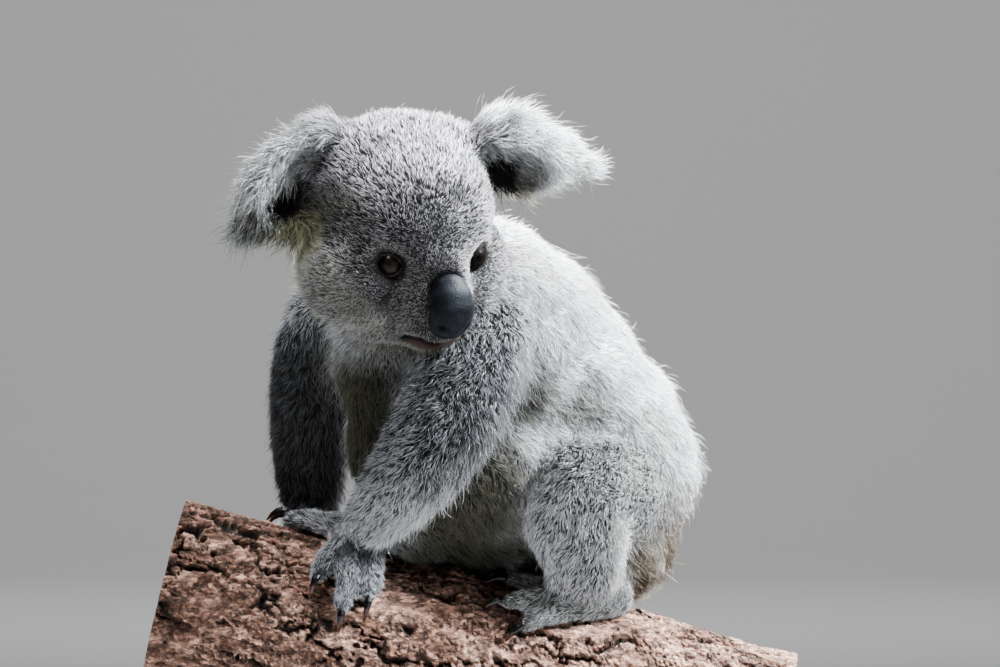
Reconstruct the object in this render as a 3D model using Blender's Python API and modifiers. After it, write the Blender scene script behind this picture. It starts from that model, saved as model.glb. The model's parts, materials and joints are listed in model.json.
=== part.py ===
"""A young koala, life size, gripping a short cut length of branch over a plain display stand.

Sizes are in millimetres here and scaled to metres by MM. +X runs down the branch, +Y to its far
side and +Z up. The origin is the middle of the base's underside.
"""

import math

import bmesh
import bpy
from mathutils import Matrix, Vector

MM = 0.001
GAP = 0.45  # between touching pieces
CUT_GAP = 0.5  # width of the thin cuts that part a limb

# Perch and stand
BRANCH_RADIUS = 47.0
BRANCH_SLOPE = math.radians(13.7)
BRANCH_LENGTH = 318.0
BRANCH_MIDDLE = Vector((0.0, 0.0, 153.0))
BASE_SIZE = Vector((270.0, 190.0, 20.0))
BASE_CORNER = 26.0
BASE_EDGE = 3.0
BRANCH_RINGS = 12
BRANCH_SIDES = 22
BRANCH_HUMP = 4.0  # rise of the low knot beneath the left hand
ROD_RADIUS = 6.0
ROD_SPREAD = 92.0  # each rod's distance from the middle

# Head: turned to the koala's left, bowed and tipped
HEAD_CENTRE = Vector((-31.0, -84.0, 364.0))
HEAD_YAW = math.radians(28.0)
HEAD_PITCH = math.radians(25.0)
HEAD_ROLL = math.radians(5.5)
EYE_RADIUS = 7.0
EYE_RISE = 2.8  # how far the eyeball stands out of the face
EYE_INSIDE = Vector((10.0, 8.0, 3.0))  # a point behind the eye, in the head frame (forward, left, up)
EYE_LOOK = Vector((0.72, 0.62, 0.03))  # the way the eye faces, in the head frame
# Each ear: its reach from root to tip, the way that its hollow faces, its masses from the root
# outward and its hollow, as a centre and half sizes (thickness, reach, width)
EARS = {
    "left": {
        "reach": Vector((0.93, 0.30, -0.20)),
        "facing": Vector((0.0, -0.64, -0.77)),
        "masses": [
            ((16, -70, 413), (17, 21, 33)),
            ((26, -65.5, 407.5), (14.5, 24, 31)),
            ((40, -60, 408.5), (12.5, 20, 21)),
            ((53, -55, 405.5), (10, 15, 13.5)),
        ],
        "hollow": ((20, -74, 400), (16, 20, 17)),
    },
    "right": {
        "reach": Vector((-0.62, -0.27, -0.70)),
        "facing": Vector((0.16, -0.84, -0.50)),
        "masses": [
            ((-67, -93, 406), (17, 21, 28)),
            ((-91, -104, 392), (15, 36, 26.5)),
        ],
        "hollow": ((-78, -112.5, 391), (17, 26, 17)),
    },
}

# Triangles kept in each mass when it is thinned
TRIANGLES = {
    "trunk": 700, "head": 820, "nose": 200, "ear": 180, "arm": 430, "leg": 220, "foot": 330,
}

COLOURS = {
    "fur_grey": (0.30, 0.31, 0.33),
    "nose_black": (0.03, 0.03, 0.035),
    "eye_brown": (0.05, 0.028, 0.018),
    "claw_black": (0.02, 0.018, 0.018),
    "bark": (0.36, 0.22, 0.17),
    "stand_wood": (0.10, 0.06, 0.04),
    "stand_steel": (0.55, 0.55, 0.56),
}


# ---------------------------------------------------------------- Blender helpers


def clear_scene():
    for obj in list(bpy.data.objects):
        bpy.data.objects.remove(obj)


def new_collection(name, hidden=False):
    made = bpy.data.collections.new(name)
    bpy.context.scene.collection.children.link(made)
    made.hide_render = hidden
    return made


def material(name, roughness=0.8, metallic=0.0):
    """The named finish, made once: a Principled BSDF with its colour from COLOURS."""
    found = bpy.data.materials.get(name)
    if found:
        return found
    made = bpy.data.materials.new(name)
    made.use_nodes = True
    shader = made.node_tree.nodes["Principled BSDF"]
    shader.inputs["Base Color"].default_value = (*COLOURS[name], 1.0)
    shader.inputs["Roughness"].default_value = roughness
    shader.inputs["Metallic"].default_value = metallic
    return made


def object_of(name, bm, collection):
    """A mesh object from a bmesh in millimetres."""
    bmesh.ops.recalc_face_normals(bm, faces=bm.faces)
    bmesh.ops.scale(bm, vec=Vector((MM, MM, MM)), verts=bm.verts)
    mesh = bpy.data.meshes.new(name)
    bm.to_mesh(mesh)
    bm.free()
    made = bpy.data.objects.new(name, mesh)
    collection.objects.link(made)
    return made


def settle(obj):
    """Replaces the object's mesh by what its modifiers make of it."""
    bpy.context.view_layer.update()
    graph = bpy.context.evaluated_depsgraph_get()
    mesh = bpy.data.meshes.new_from_object(obj.evaluated_get(graph))
    obj.modifiers.clear()
    obj.data = mesh
    return obj


def fuse(obj, voxel, smoothing, triangles=None):
    """Makes overlapping shapes one closed skin, rounds their meeting lines and thins the mesh."""
    remesh = obj.modifiers.new("fuse", "REMESH")
    remesh.mode = "VOXEL"
    remesh.voxel_size = voxel * MM
    if smoothing:
        smooth = obj.modifiers.new("round", "SMOOTH")
        smooth.factor = 0.5
        smooth.iterations = smoothing
    settle(obj)
    if triangles:
        thin = obj.modifiers.new("thin", "DECIMATE")
        thin.ratio = triangles / (2.0 * len(obj.data.polygons))
        thin.use_collapse_triangulate = True
        settle(obj)
    return obj


def swollen(obj):
    """A hidden copy of the object, larger by the gap all round, to cut its neighbours with."""
    bm = bmesh.new()
    bm.from_mesh(obj.data)
    bmesh.ops.triangulate(bm, faces=bm.faces)
    bm.normal_update()
    shifts = [vert.normal * GAP * MM * min(vert.calc_shell_factor(), 2.5) for vert in bm.verts]
    for vert, shift in zip(bm.verts, shifts):
        vert.co += shift
    mesh = bpy.data.meshes.new(obj.name + "_cutter")
    bm.to_mesh(mesh)
    bm.free()
    return hide_cutter(bpy.data.objects.new(obj.name + "_cutter", mesh))


def hide_cutter(obj):
    """Moves an object to the cutters' collection and shows it as wires only."""
    for holder in list(obj.users_collection):
        holder.objects.unlink(obj)
    CUTTERS.objects.link(obj)
    obj.display_type = "WIRE"
    obj.hide_render = True
    return obj


def cut(obj, cutter):
    """Takes the cutter's space out of the object."""
    boolean = obj.modifiers.new("cut", "BOOLEAN")
    boolean.solver = "EXACT"
    boolean.object = cutter
    return settle(obj)


def finish_node(obj, finish, roughness=0.85, metallic=0.0, sharp=40.0):
    """Moves a finished piece to the part's collection and gives it its material."""
    for holder in list(obj.users_collection):
        holder.objects.unlink(obj)
    KOALA.objects.link(obj)
    obj.data.materials.clear()
    obj.data.materials.append(material(finish, roughness, metallic))
    obj.data.shade_smooth()
    obj.data.set_sharp_from_angle(angle=math.radians(sharp))
    return obj


# ---------------------------------------------------------------- shape helpers


def add_ball(bm, centre, radii, turn=None, segments=24):
    """Adds an ellipsoid. radii is a number or three, along the turned axes."""
    if not hasattr(radii, "__len__"):
        radii = (radii, radii, radii)
    place = Matrix.Translation(centre) @ (turn or Matrix.Identity(3)).to_4x4()
    bmesh.ops.create_uvsphere(
        bm, u_segments=segments, v_segments=segments // 2, radius=1.0,
        matrix=place @ Matrix.Diagonal((*radii, 1.0)),
    )


def smooth_path(stops, steps):
    """(point, radius) pairs along a Catmull-Rom curve through the stops."""
    points = [Vector((*spot, radius)) for spot, radius in stops]
    points = [2 * points[0] - points[1], *points, 2 * points[-1] - points[-2]]
    made = []
    for i in range(1, len(points) - 2):
        a, b, c, d = points[i - 1 : i + 3]
        for k in range(steps):
            t = k / steps
            made.append(
                0.5 * (2 * b + (c - a) * t + (2 * a - 5 * b + 4 * c - d) * t**2
                       + (3 * b - a - 3 * c + d) * t**3)
            )
    made.append(points[-2])
    return [(Vector(p[:3]), p[3]) for p in made]


def add_limb(bm, stops, steps=7, segments=18):
    """Adds a tapering limb: a row of balls close enough to make one round form."""
    for point, radius in smooth_path(stops, steps):
        add_ball(bm, point, max(radius, 0.4), segments=segments)


def heading(yaw, pitch=0.0):
    """Axes (forward, left, up) of something that faces -Y when yaw is 0, and +X at 90 degrees."""
    forward = Vector((math.sin(yaw), -math.cos(yaw), 0.0))
    left = Vector((math.cos(yaw), math.sin(yaw), 0.0))
    level = Matrix((forward, left, Vector((0.0, 0.0, 1.0)))).transposed()
    return level @ Matrix.Rotation(pitch, 3, "Y")


def on_branch(along, turn, height=0.0):
    """A point by the branch: along its axis, round from its top towards -Y, and above its bark."""
    axis = Vector((math.cos(BRANCH_SLOPE), 0.0, -math.sin(BRANCH_SLOPE)))
    top = Vector((math.sin(BRANCH_SLOPE), 0.0, math.cos(BRANCH_SLOPE)))
    angle = math.radians(turn)
    out = math.cos(angle) * top + math.sin(angle) * Vector((0.0, -1.0, 0.0))
    return BRANCH_MIDDLE + along * axis + (BRANCH_RADIUS + height) * out


def branch_stops(rows):
    """Limb stops from rows of (along, turn, height, radius)."""
    return [(on_branch(along, turn, height), radius) for along, turn, height, radius in rows]


def part_limb(obj, names, cuts):
    """Parts a limb with thin discs and names the pieces in order from its root.

    Each cut is (centre, normal, radius). A piece lies beyond each cut that it comes after.
    """
    bm = bmesh.new()
    for centre, normal, radius in cuts:
        turn = Vector(normal).to_track_quat("Z", "Y").to_matrix().to_4x4()
        bmesh.ops.create_cone(
            bm, cap_ends=True, segments=32, radius1=radius, radius2=radius, depth=CUT_GAP,
            matrix=Matrix.Translation(centre) @ turn,
        )
    cut(obj, hide_cutter(object_of(obj.name + "_cutter", bm, CUTTERS)))
    pieces = loose_pieces(obj)
    pieces.sort(key=spread, reverse=True)
    for crumb in pieces[len(names):]:
        bpy.data.objects.remove(crumb)
    pieces = pieces[: len(names)]

    def order(piece):
        middle = sum((v.co for v in piece.data.vertices), Vector()) / len(piece.data.vertices)
        return sum((middle / MM - Vector(c)).dot(Vector(n)) > 0 for c, n, _ in cuts)

    pieces.sort(key=order)
    for piece, name in zip(pieces, names):
        piece.name = name
        piece.data.name = name
    return pieces


def spread(obj):
    """The volume of the object's bounding box, in cubic centimetres."""
    low = [min(v.co[i] for v in obj.data.vertices) for i in range(3)]
    high = [max(v.co[i] for v in obj.data.vertices) for i in range(3)]
    return math.prod(b - a for a, b in zip(low, high)) * 1e6


def loose_pieces(obj):
    """Splits an object into one object for each connected piece."""
    bm = bmesh.new()
    bm.from_mesh(obj.data)
    bm.faces.ensure_lookup_table()
    label, groups = {}, []
    for face in bm.faces:
        if face.index in label:
            continue
        group, todo = [], [face]
        label[face.index] = len(groups)
        while todo:
            here = todo.pop()
            group.append(here.index)
            for edge in here.edges:
                for other in edge.link_faces:
                    if other.index not in label:
                        label[other.index] = len(groups)
                        todo.append(other)
        groups.append(set(group))
    bm.free()
    made = []
    for i, group in enumerate(groups):
        piece = bmesh.new()
        piece.from_mesh(obj.data)
        piece.faces.ensure_lookup_table()
        rest = [f for f in piece.faces if f.index not in group]
        bmesh.ops.delete(piece, geom=rest, context="FACES")
        bmesh.ops.scale(piece, vec=Vector((1 / MM,) * 3), verts=piece.verts)
        made.append(object_of(f"{obj.name}_{i}", piece, WORKSHOP))
    bpy.data.objects.remove(obj)
    return made


# ---------------------------------------------------------------- perch and stand


def make_branch():
    """A slightly bowed and lumpy log with sawn ends."""
    bm = bmesh.new()
    bmesh.ops.create_cone(
        bm, cap_ends=True, segments=BRANCH_SIDES, radius1=BRANCH_RADIUS, radius2=BRANCH_RADIUS,
        depth=BRANCH_LENGTH,
    )
    lengthwise = [e for e in bm.edges if abs(e.verts[0].co.z - e.verts[1].co.z) > 1.0]
    bmesh.ops.subdivide_edges(bm, edges=lengthwise, cuts=BRANCH_RINGS - 1, use_grid_fill=True)
    for vert in bm.verts:
        along = vert.co.z
        angle = math.atan2(vert.co.y, vert.co.x)
        swell = 0.9 * math.sin(0.031 * along + 2 * angle) + 0.8 * math.sin(0.052 * along - 3 * angle + 1)
        hump = BRANCH_HUMP * math.exp(-(((along + 14.0) / 18.0) ** 2) / 2) * max(0.0, -math.cos(angle)) ** 2
        grow = (BRANCH_RADIUS + swell + hump - 0.6) / BRANCH_RADIUS
        vert.co.x *= grow
        vert.co.y *= grow
    # The cone's own axis is +Z: lay it along the branch's slope.
    lay = Matrix.Rotation(math.pi / 2 + BRANCH_SLOPE, 4, "Y")
    bmesh.ops.transform(bm, matrix=Matrix.Translation(BRANCH_MIDDLE) @ lay, verts=bm.verts)
    bmesh.ops.triangulate(bm, faces=bm.faces)
    return object_of("perch_branch", bm, WORKSHOP)


def make_base():
    """A flat board with round corners and a softened top edge, as a 2D curve extruded."""
    half_x, half_y = BASE_SIZE.x / 2 - BASE_CORNER, BASE_SIZE.y / 2 - BASE_CORNER
    curve = bpy.data.curves.new("stand_base", "CURVE")
    curve.dimensions = "2D"
    curve.fill_mode = "BOTH"
    curve.extrude = BASE_SIZE.z / 2 * MM
    corner_steps = 8
    outline = []
    for quarter, (sx, sy) in enumerate(((1, 1), (-1, 1), (-1, -1), (1, -1))):
        for k in range(corner_steps + 1):
            angle = math.pi / 2 * (quarter + k / corner_steps)
            outline.append((sx * half_x + BASE_CORNER * math.cos(angle),
                            sy * half_y + BASE_CORNER * math.sin(angle)))
    spline = curve.splines.new("POLY")
    spline.points.add(len(outline) - 1)
    for point, (x, y) in zip(spline.points, outline):
        point.co = (x * MM, y * MM, 0.0, 1.0)
    spline.use_cyclic_u = True
    board = bpy.data.objects.new("stand_base_outline", curve)
    WORKSHOP.objects.link(board)
    bpy.context.view_layer.update()
    graph = bpy.context.evaluated_depsgraph_get()
    mesh = bpy.data.meshes.new_from_object(board.evaluated_get(graph))
    bpy.data.objects.remove(board)
    bm = bmesh.new()
    bm.from_mesh(mesh)
    bmesh.ops.remove_doubles(bm, verts=bm.verts, dist=0.01 * MM)
    bmesh.ops.translate(bm, vec=(0, 0, BASE_SIZE.z / 2 * MM), verts=bm.verts)
    rim = [e for e in bm.edges if all(v.co.z > BASE_SIZE.z * 0.9 * MM for v in e.verts)
           and len({round(f.normal.z) for f in e.link_faces}) > 1]
    bmesh.ops.bevel(bm, geom=rim, offset=BASE_EDGE * MM, segments=2, profile=0.5, affect="EDGES")
    bmesh.ops.scale(bm, vec=Vector((1 / MM,) * 3), verts=bm.verts)
    return object_of("stand_base", bm, WORKSHOP)


def make_rods(branch_cutter):
    """Two upright rods from the base into the underside of the branch."""
    made = []
    for name, x in (("stand_rod_high", -ROD_SPREAD), ("stand_rod_low", ROD_SPREAD)):
        top = BRANCH_MIDDLE.z - math.tan(BRANCH_SLOPE) * x - BRANCH_RADIUS / 2
        foot = BASE_SIZE.z + GAP
        bm = bmesh.new()
        bmesh.ops.create_cone(
            bm, cap_ends=True, segments=20, radius1=ROD_RADIUS, radius2=ROD_RADIUS,
            depth=top - foot, matrix=Matrix.Translation((x, 0.0, (top + foot) / 2)),
        )
        rod = object_of(name, bm, WORKSHOP)
        made.append(cut(rod, branch_cutter))
    return made


# ---------------------------------------------------------------- trunk and limbs


def make_trunk():
    """Neck, chest, belly and rump as one mass, hunched over the branch."""
    masses = [
        # centre, half sizes (forward, sideways, upright) and the yaw that it faces
        ((-16, -52, 346), (34, 42, 36), -20),  # neck
        ((5, -21, 335), (44, 50, 48), -44),  # withers
        ((-28, -40, 306), (38, 46, 46), -38),  # breast
        ((-48, -22, 324), (30, 30, 34), -40),  # right shoulder
        ((4, -46, 322), (32, 34, 34), -40),  # left shoulder
        ((-30, -26, 266), (36, 36, 40), -45),
        ((-24, -12, 238), (32, 28, 34), -60),
        ((18, -16, 306), (48, 52, 50), -48),
        ((25, -11, 322), (46, 50, 46), -50),
        ((40, -3, 299), (48, 52, 49), -54),  # back
        ((8, -18, 258), (46, 50, 46), -52),  # belly
        ((14, -2, 238), (44, 34, 40), -65),
        ((36, -4, 252), (48, 50, 48), -56),
        ((63, 6, 273), (46, 50, 46), -60),  # loin
        ((75, 10, 252), (44, 48, 45), -62),
        ((68, 12, 224), (40, 44, 38), -62),  # rump
        ((80, 14, 207), (24, 32, 22), -62),
    ]
    bm = bmesh.new()
    for centre, radii, yaw in masses:
        add_ball(bm, Vector(centre), radii, heading(math.radians(yaw)), segments=32)
    trunk = object_of("trunk", bm, WORKSHOP)
    return fuse(trunk, 3.0, 24, TRIANGLES["trunk"])


ARMS = {
    # shoulder to wrist: (point, radius)
    "left": [((6, -60, 322), 27), ((-3, -76, 298), 27), ((-14, -86, 275), 26),
             ((-28, -78, 254), 23), ((-42, -60, 237), 18), ((-50, -47, 229), 14.5)],
    "right": [((-70, -14, 330), 24), ((-79, -4, 308), 22.5), ((-82, 4, 284), 22),
              ((-82, 14, 260), 20.5), ((-82, 24, 240), 17.5), ((-81, 32, 229), 14.5)],
}
# Palm and digits over the bark, as rows of (along, turn, height, radius)
PALMS = {
    "left": [(-64, 4, 10, 14), (-69, 20, 7.5, 14), (-71, 32, 6.5, 12.5)],
    "right": [(-97, -34, 13, 13), (-99, -44, 8, 13.5), (-101, -52, 6.5, 12)],
}
DIGITS = {
    "left": [
        [(-76, 14, 7, 8), (-88, 8, 6.5, 6.2), (-99, 4, 6, 5.4), (-106, 3, 4.5, 4.8)],
        [(-80, 4, 6.5, 7.5), (-90, -6, 6, 5.8), (-100, -12, 5.5, 5.0), (-106, -14, 4, 4.4)],
        [(-77, 33, 6.5, 7.5), (-81.5, 43, 7, 5.9), (-84.5, 52, 6, 5.4), (-85, 57, 4.6, 4.8)],
        [(-71, 40, 6.5, 7.5), (-70, 54, 7.5, 6.2), (-69.5, 67, 6.5, 5.7), (-69, 73, 4.6, 5.0)],
        [(-61, 36, 6.5, 7.5), (-58.5, 47, 7.5, 5.9), (-57, 57, 6.5, 5.5), (-57, 62.5, 4.6, 4.8)],
    ],
    "right": [
        [(-106, -46, 7, 7.5), (-118, -48, 6.5, 6.0), (-128, -50, 5.5, 5.2), (-135, -50, 4.5, 4.6)],
        [(-107, -54, 7, 7.5), (-120, -62, 6.5, 6.0), (-130, -66, 5.5, 5.2), (-137, -67, 4.5, 4.6)],
        [(-105, -60, 6.5, 7), (-110, -72, 7, 5.9), (-112, -82, 6, 5.4), (-113, -88, 4.6, 4.8)],
        [(-100, -64, 6.5, 7.5), (-100, -80, 7.5, 6.2), (-100, -93, 6.5, 5.7), (-100, -100, 4.6, 5.0)],
        [(-94, -60, 6.5, 7), (-90, -72, 7.5, 6.0), (-88, -83, 6.5, 5.5), (-87, -89, 4.6, 4.8)],
    ],
}
LEGS = {
    # hip to ankle
    "left": [((71, -20, 246), 30), ((61, -32, 246), 30), ((54, -42, 241), 29),
             ((54, -42, 225), 27), ((57, -38, 211), 23), ((59, -32, 200), 18)],
    "right": [((52, 46, 246), 30), ((42, 46, 246), 31), ((34, 48, 240), 28),
              ((34, 48, 222), 26), ((40, 48, 206), 22), ((46, 46, 194), 18)],
}
SOLES = {
    "left": [(59, 19, 9, 13.5), (50, 24, 9, 14.5), (40, 30, 8, 13.5), (32, 35, 7, 10)],
    "right": [(58, -52, 9, 15), (45, -54, 9, 15.5), (33, -54, 8, 13.5), (24, -54, 7, 10.5)],
}
TOES = {
    "left": [
        [(31, 28, 7, 7.5), (20, 24.5, 6.5, 5.8), (11, 23.5, 5.5, 5.2), (7.5, 24, 4.4, 4.5)],
        [(31, 37, 7, 7.5), (22, 38.5, 7, 6.0), (13, 42.5, 6, 5.3), (9, 44.5, 4.6, 4.6)],
        [(37, 42, 6.5, 7.5), (31, 47, 7, 6.0), (24.5, 53.5, 6, 5.3), (21.5, 57, 4.6, 4.6)],
        [(38, 24, 6, 7.5), (36, 14, 6, 6.2), (34, 7, 5, 5.6), (33, 4, 4, 4.8)],
    ],
    "right": [
        [(25, -42, 7, 7.5), (13, -38, 7, 6.0), (4, -35, 6, 5.4), (0, -34, 4.6, 4.7)],
        [(22, -54, 7, 7.5), (11, -55, 7.5, 6.2), (2, -57, 6.5, 5.6), (-2, -58, 4.8, 4.8)],
        [(25, -64, 6.5, 7.5), (17, -69, 7, 6.0), (11, -74, 6, 5.5), (8, -77, 4.6, 4.7)],
        [(30, -40, 6, 7), (26, -32, 6, 6.0), (22, -26, 5, 5.4), (20, -23, 4, 4.7)],
    ],
}
CLAW_LENGTH = 13.5
CLAW_RADIUS = 2.15
CLAW_SEAT = 2.7  # height of the claw's root over the middle of the digit's tip
CLAW_HOOK = 4.8  # how far the tip bends in towards the bark
TWIN_CLAWS = 2.6  # half the distance between the two claws of the fused toe

# The cuts that part the trunk, from the neck back: (centre, normal, radius of the cutting disc)
TRUNK_CUTS = [
    (Vector((-10, -44, 334)), Vector((0.35, 0.30, -0.88)), 90.0),
    (Vector((22, -10, 290)), Vector((0.80, 0.44, -0.41)), 130.0),
    (Vector((62, 6, 244)), Vector((0.72, 0.36, -0.59)), 130.0),
]
ELBOW_DISC, WRIST_DISC, KNEE_DISC = 36.0, 22.0, 80.0


def make_arm(side):
    """One arm with its hand, unparted."""
    bm = bmesh.new()
    add_limb(bm, ARMS[side], segments=24)
    palm = branch_stops(PALMS[side])
    add_limb(bm, [ARMS[side][-1], *palm])
    arm = fuse(object_of(f"arm_{side}", bm, WORKSHOP), 2.0, 6)
    digits = bmesh.new()
    for rows in DIGITS[side]:
        add_limb(digits, branch_stops(rows), steps=5, segments=14)
    return blend_in(arm, digits, TRIANGLES["arm"])


def arm_cuts(side):
    """The cuts at the elbow and the wrist."""
    spots = [Vector(point) for point, _ in ARMS[side]]
    return [(spots[2], spots[3] - spots[1], ELBOW_DISC), (spots[-1], spots[4] - spots[3], WRIST_DISC)]


def knee_cuts(side):
    """The one cut that parts thigh and shin, just over the knee."""
    outward = -1.0 if side == "left" else 1.0
    knee = Vector(LEGS[side][3][0]) + Vector((0, 0, 7))
    return [(knee, Vector((-0.6, 0.5 * outward, -0.63)), KNEE_DISC)]


def make_leg(side):
    bm = bmesh.new()
    add_limb(bm, LEGS[side], segments=24)
    return fuse(object_of(f"leg_{side}", bm, WORKSHOP), 2.4, 8, TRIANGLES["leg"])


def make_foot(side):
    bm = bmesh.new()
    add_limb(bm, branch_stops(SOLES[side]), segments=20)
    foot = fuse(object_of(f"foot_{side}", bm, WORKSHOP), 1.8, 4)
    toes = bmesh.new()
    for rows in TOES[side]:
        add_limb(toes, branch_stops(rows), steps=5, segments=14)
    return blend_in(foot, toes, TRIANGLES["foot"])


def blend_in(obj, bm, triangles):
    """Joins finer shapes to a smoothed mass with a light rounding, so that they stay crisp."""
    base = bmesh.new()
    base.from_mesh(obj.data)
    bmesh.ops.scale(base, vec=Vector((1 / MM,) * 3), verts=base.verts)
    extra = bpy.data.meshes.new("extra")
    bm.to_mesh(extra)
    bm.free()
    base.from_mesh(extra)
    bpy.data.meshes.remove(extra)
    name = obj.name
    bpy.data.objects.remove(obj)
    return fuse(object_of(name, base, WORKSHOP), 1.4, 4, triangles)


def make_claw(name, rows, aside, grow=0.0):
    """A curved claw that carries on from a digit's last two stops and hooks to the bark.

    grow makes it larger all round, to cut a neighbour with.
    """
    last = on_branch(*rows[-1][:3])
    before = on_branch(*rows[-2][:3])
    along, turn = rows[-1][0], rows[-1][1]
    outward = (on_branch(along, turn, 10.0) - on_branch(along, turn, 0.0)).normalized()
    run = (last - before).normalized()
    start = last + CLAW_SEAT * outward - 1.0 * run + aside * run.cross(outward)
    curve = bpy.data.curves.new(name, "CURVE")
    curve.dimensions = "3D"
    curve.bevel_depth = (CLAW_RADIUS + grow) * MM
    curve.bevel_resolution = 1
    curve.use_fill_caps = True
    steps = 4
    spline = curve.splines.new("POLY")
    spline.points.add(steps)
    for k, point in enumerate(spline.points):
        t = k / steps
        reach = 2.0 - grow + (CLAW_LENGTH + 2 * grow) * t
        rise = 1.6 * math.sin(math.pi * t) - CLAW_HOOK * t * t
        spot = start + run * reach * (1 - 0.18 * t * t) + outward * rise
        point.co = (*(spot * MM), 1.0)
        point.radius = 1.05 - 0.93 * t**1.3
    made = bpy.data.objects.new(name, curve)
    WORKSHOP.objects.link(made)
    bpy.context.view_layer.update()
    graph = bpy.context.evaluated_depsgraph_get()
    mesh = bpy.data.meshes.new_from_object(made.evaluated_get(graph))
    bpy.data.objects.remove(made)
    bm = bmesh.new()
    bm.from_mesh(mesh)
    bmesh.ops.remove_doubles(bm, verts=bm.verts, dist=0.01 * MM)
    bmesh.ops.scale(bm, vec=Vector((1 / MM,) * 3), verts=bm.verts)
    bmesh.ops.triangulate(bm, faces=bm.faces)
    return object_of(name, bm, WORKSHOP)


# ---------------------------------------------------------------- head


HEAD_TURN = Matrix.Rotation(-HEAD_ROLL, 3, Vector((0.0, 1.0, 0.0))) @ heading(HEAD_YAW, HEAD_PITCH)


def in_head(spot):
    """A point given in the head's frame (forward, left, up), in the part's frame."""
    return HEAD_CENTRE + HEAD_TURN @ Vector(spot)


def mirrored(spot, side):
    """The spot on the head's left side or, with the sign turned, on its right."""
    sign = 1.0 if side == "left" else -1.0
    return Vector((spot[0], sign * spot[1], spot[2]))


def make_head():
    masses = [
        ((-14, 0, 11), (48, 46, 53)),  # cranium
        ((2, 0, 20), (40, 41, 40)),  # forehead
        ((28, 0, 3), (20, 17, 18)),  # bridge of the nose
        ((33, 0, -13), (20, 20, 18)),  # muzzle
        ((29, 0, -27), (19, 17, 12)),  # lips
        ((20, 0, -35), (20, 16, 11)),  # chin
        ((-4, 0, -26), (34, 38, 27)),  # throat
    ]
    pairs = [
        ((0, 28, -11), (33, 26, 29)),  # cheek
        ((12, 20, 17), (16, 15, 11)),  # brow
        ((32, 9, -23), (16, 11, 11)),  # corner of the lips
        ((-14, 20, 36), (26, 21, 26)),  # side of the crown
    ]
    bm = bmesh.new()
    for centre, radii in masses:
        add_ball(bm, in_head(centre), radii, HEAD_TURN, segments=36)
    for side in ("left", "right"):
        for centre, radii in pairs:
            add_ball(bm, in_head(mirrored(centre, side)), radii, HEAD_TURN, segments=32)
    return fuse(object_of("head", bm, WORKSHOP), 2.0, 9, TRIANGLES["head"])


def make_ear(side):
    """A drooping ear with a thick furred back, and a hollow under its front edge."""
    ear = EARS[side]
    reach = ear["reach"].normalized()
    facing = (ear["facing"] - ear["facing"].dot(reach) * reach).normalized()
    turn = Matrix((facing, reach, facing.cross(reach))).transposed()
    bm = bmesh.new()
    for centre, radii in ear["masses"]:
        add_ball(bm, Vector(centre), radii, turn, segments=28)
    made = fuse(object_of(f"ear_{side}", bm, WORKSHOP), 1.8, 8, TRIANGLES["ear"])
    scoop = bmesh.new()
    spot, radii = ear["hollow"]
    add_ball(scoop, Vector(spot), radii, turn, segments=14)
    return cut(made, hide_cutter(object_of(f"ear_{side}_hollow", scoop, CUTTERS)))


def make_eye(side, head):
    """An eyeball sunk in the face, with only its front standing out."""
    start = in_head(mirrored(EYE_INSIDE, side)) * MM
    look = HEAD_TURN @ mirrored(EYE_LOOK, side).normalized()
    _, surface, _, _ = head.ray_cast(start, look)
    bm = bmesh.new()
    add_ball(bm, surface / MM - (EYE_RADIUS - EYE_RISE) * look, EYE_RADIUS, HEAD_TURN, segments=14)
    return object_of(f"eye_{side}", bm, WORKSHOP)


def make_nose():
    """The large bare nose pad, from between the eyes down to the lip."""
    bm = bmesh.new()
    rows = [((47, 0, -3), (6, 8.5, 6)), ((50.5, 0, -7), (7, 10.5, 7)), ((52.5, 0, -12), (7, 11.5, 8)),
            ((52.5, 0, -18), (7, 11.5, 7.5)), ((49.5, 0, -23), (7, 9, 5.5))]
    for centre, radii in rows:
        add_ball(bm, in_head(centre), radii, HEAD_TURN)
    return fuse(object_of("nose", bm, WORKSHOP), 1.2, 8, TRIANGLES["nose"])


# ---------------------------------------------------------------- the whole part


clear_scene()
KOALA = new_collection("koala_on_branch")
WORKSHOP = new_collection("workshop")
CUTTERS = new_collection("cutters", hidden=True)

branch = make_branch()
branch_cutter = swollen(branch)

base = make_base()
rods = make_rods(branch_cutter)

head = make_head()
head_cutter = swollen(head)
eyes = {side: make_eye(side, head) for side in ("left", "right")}
nose = make_nose()
ears = {side: make_ear(side) for side in ("left", "right")}
for ear in ears.values():
    cut(ear, head_cutter)
for piece in (*eyes.values(), nose):
    cut(head, swollen(piece))

trunk = make_trunk()
cut(trunk, head_cutter)
cut(trunk, branch_cutter)

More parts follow.
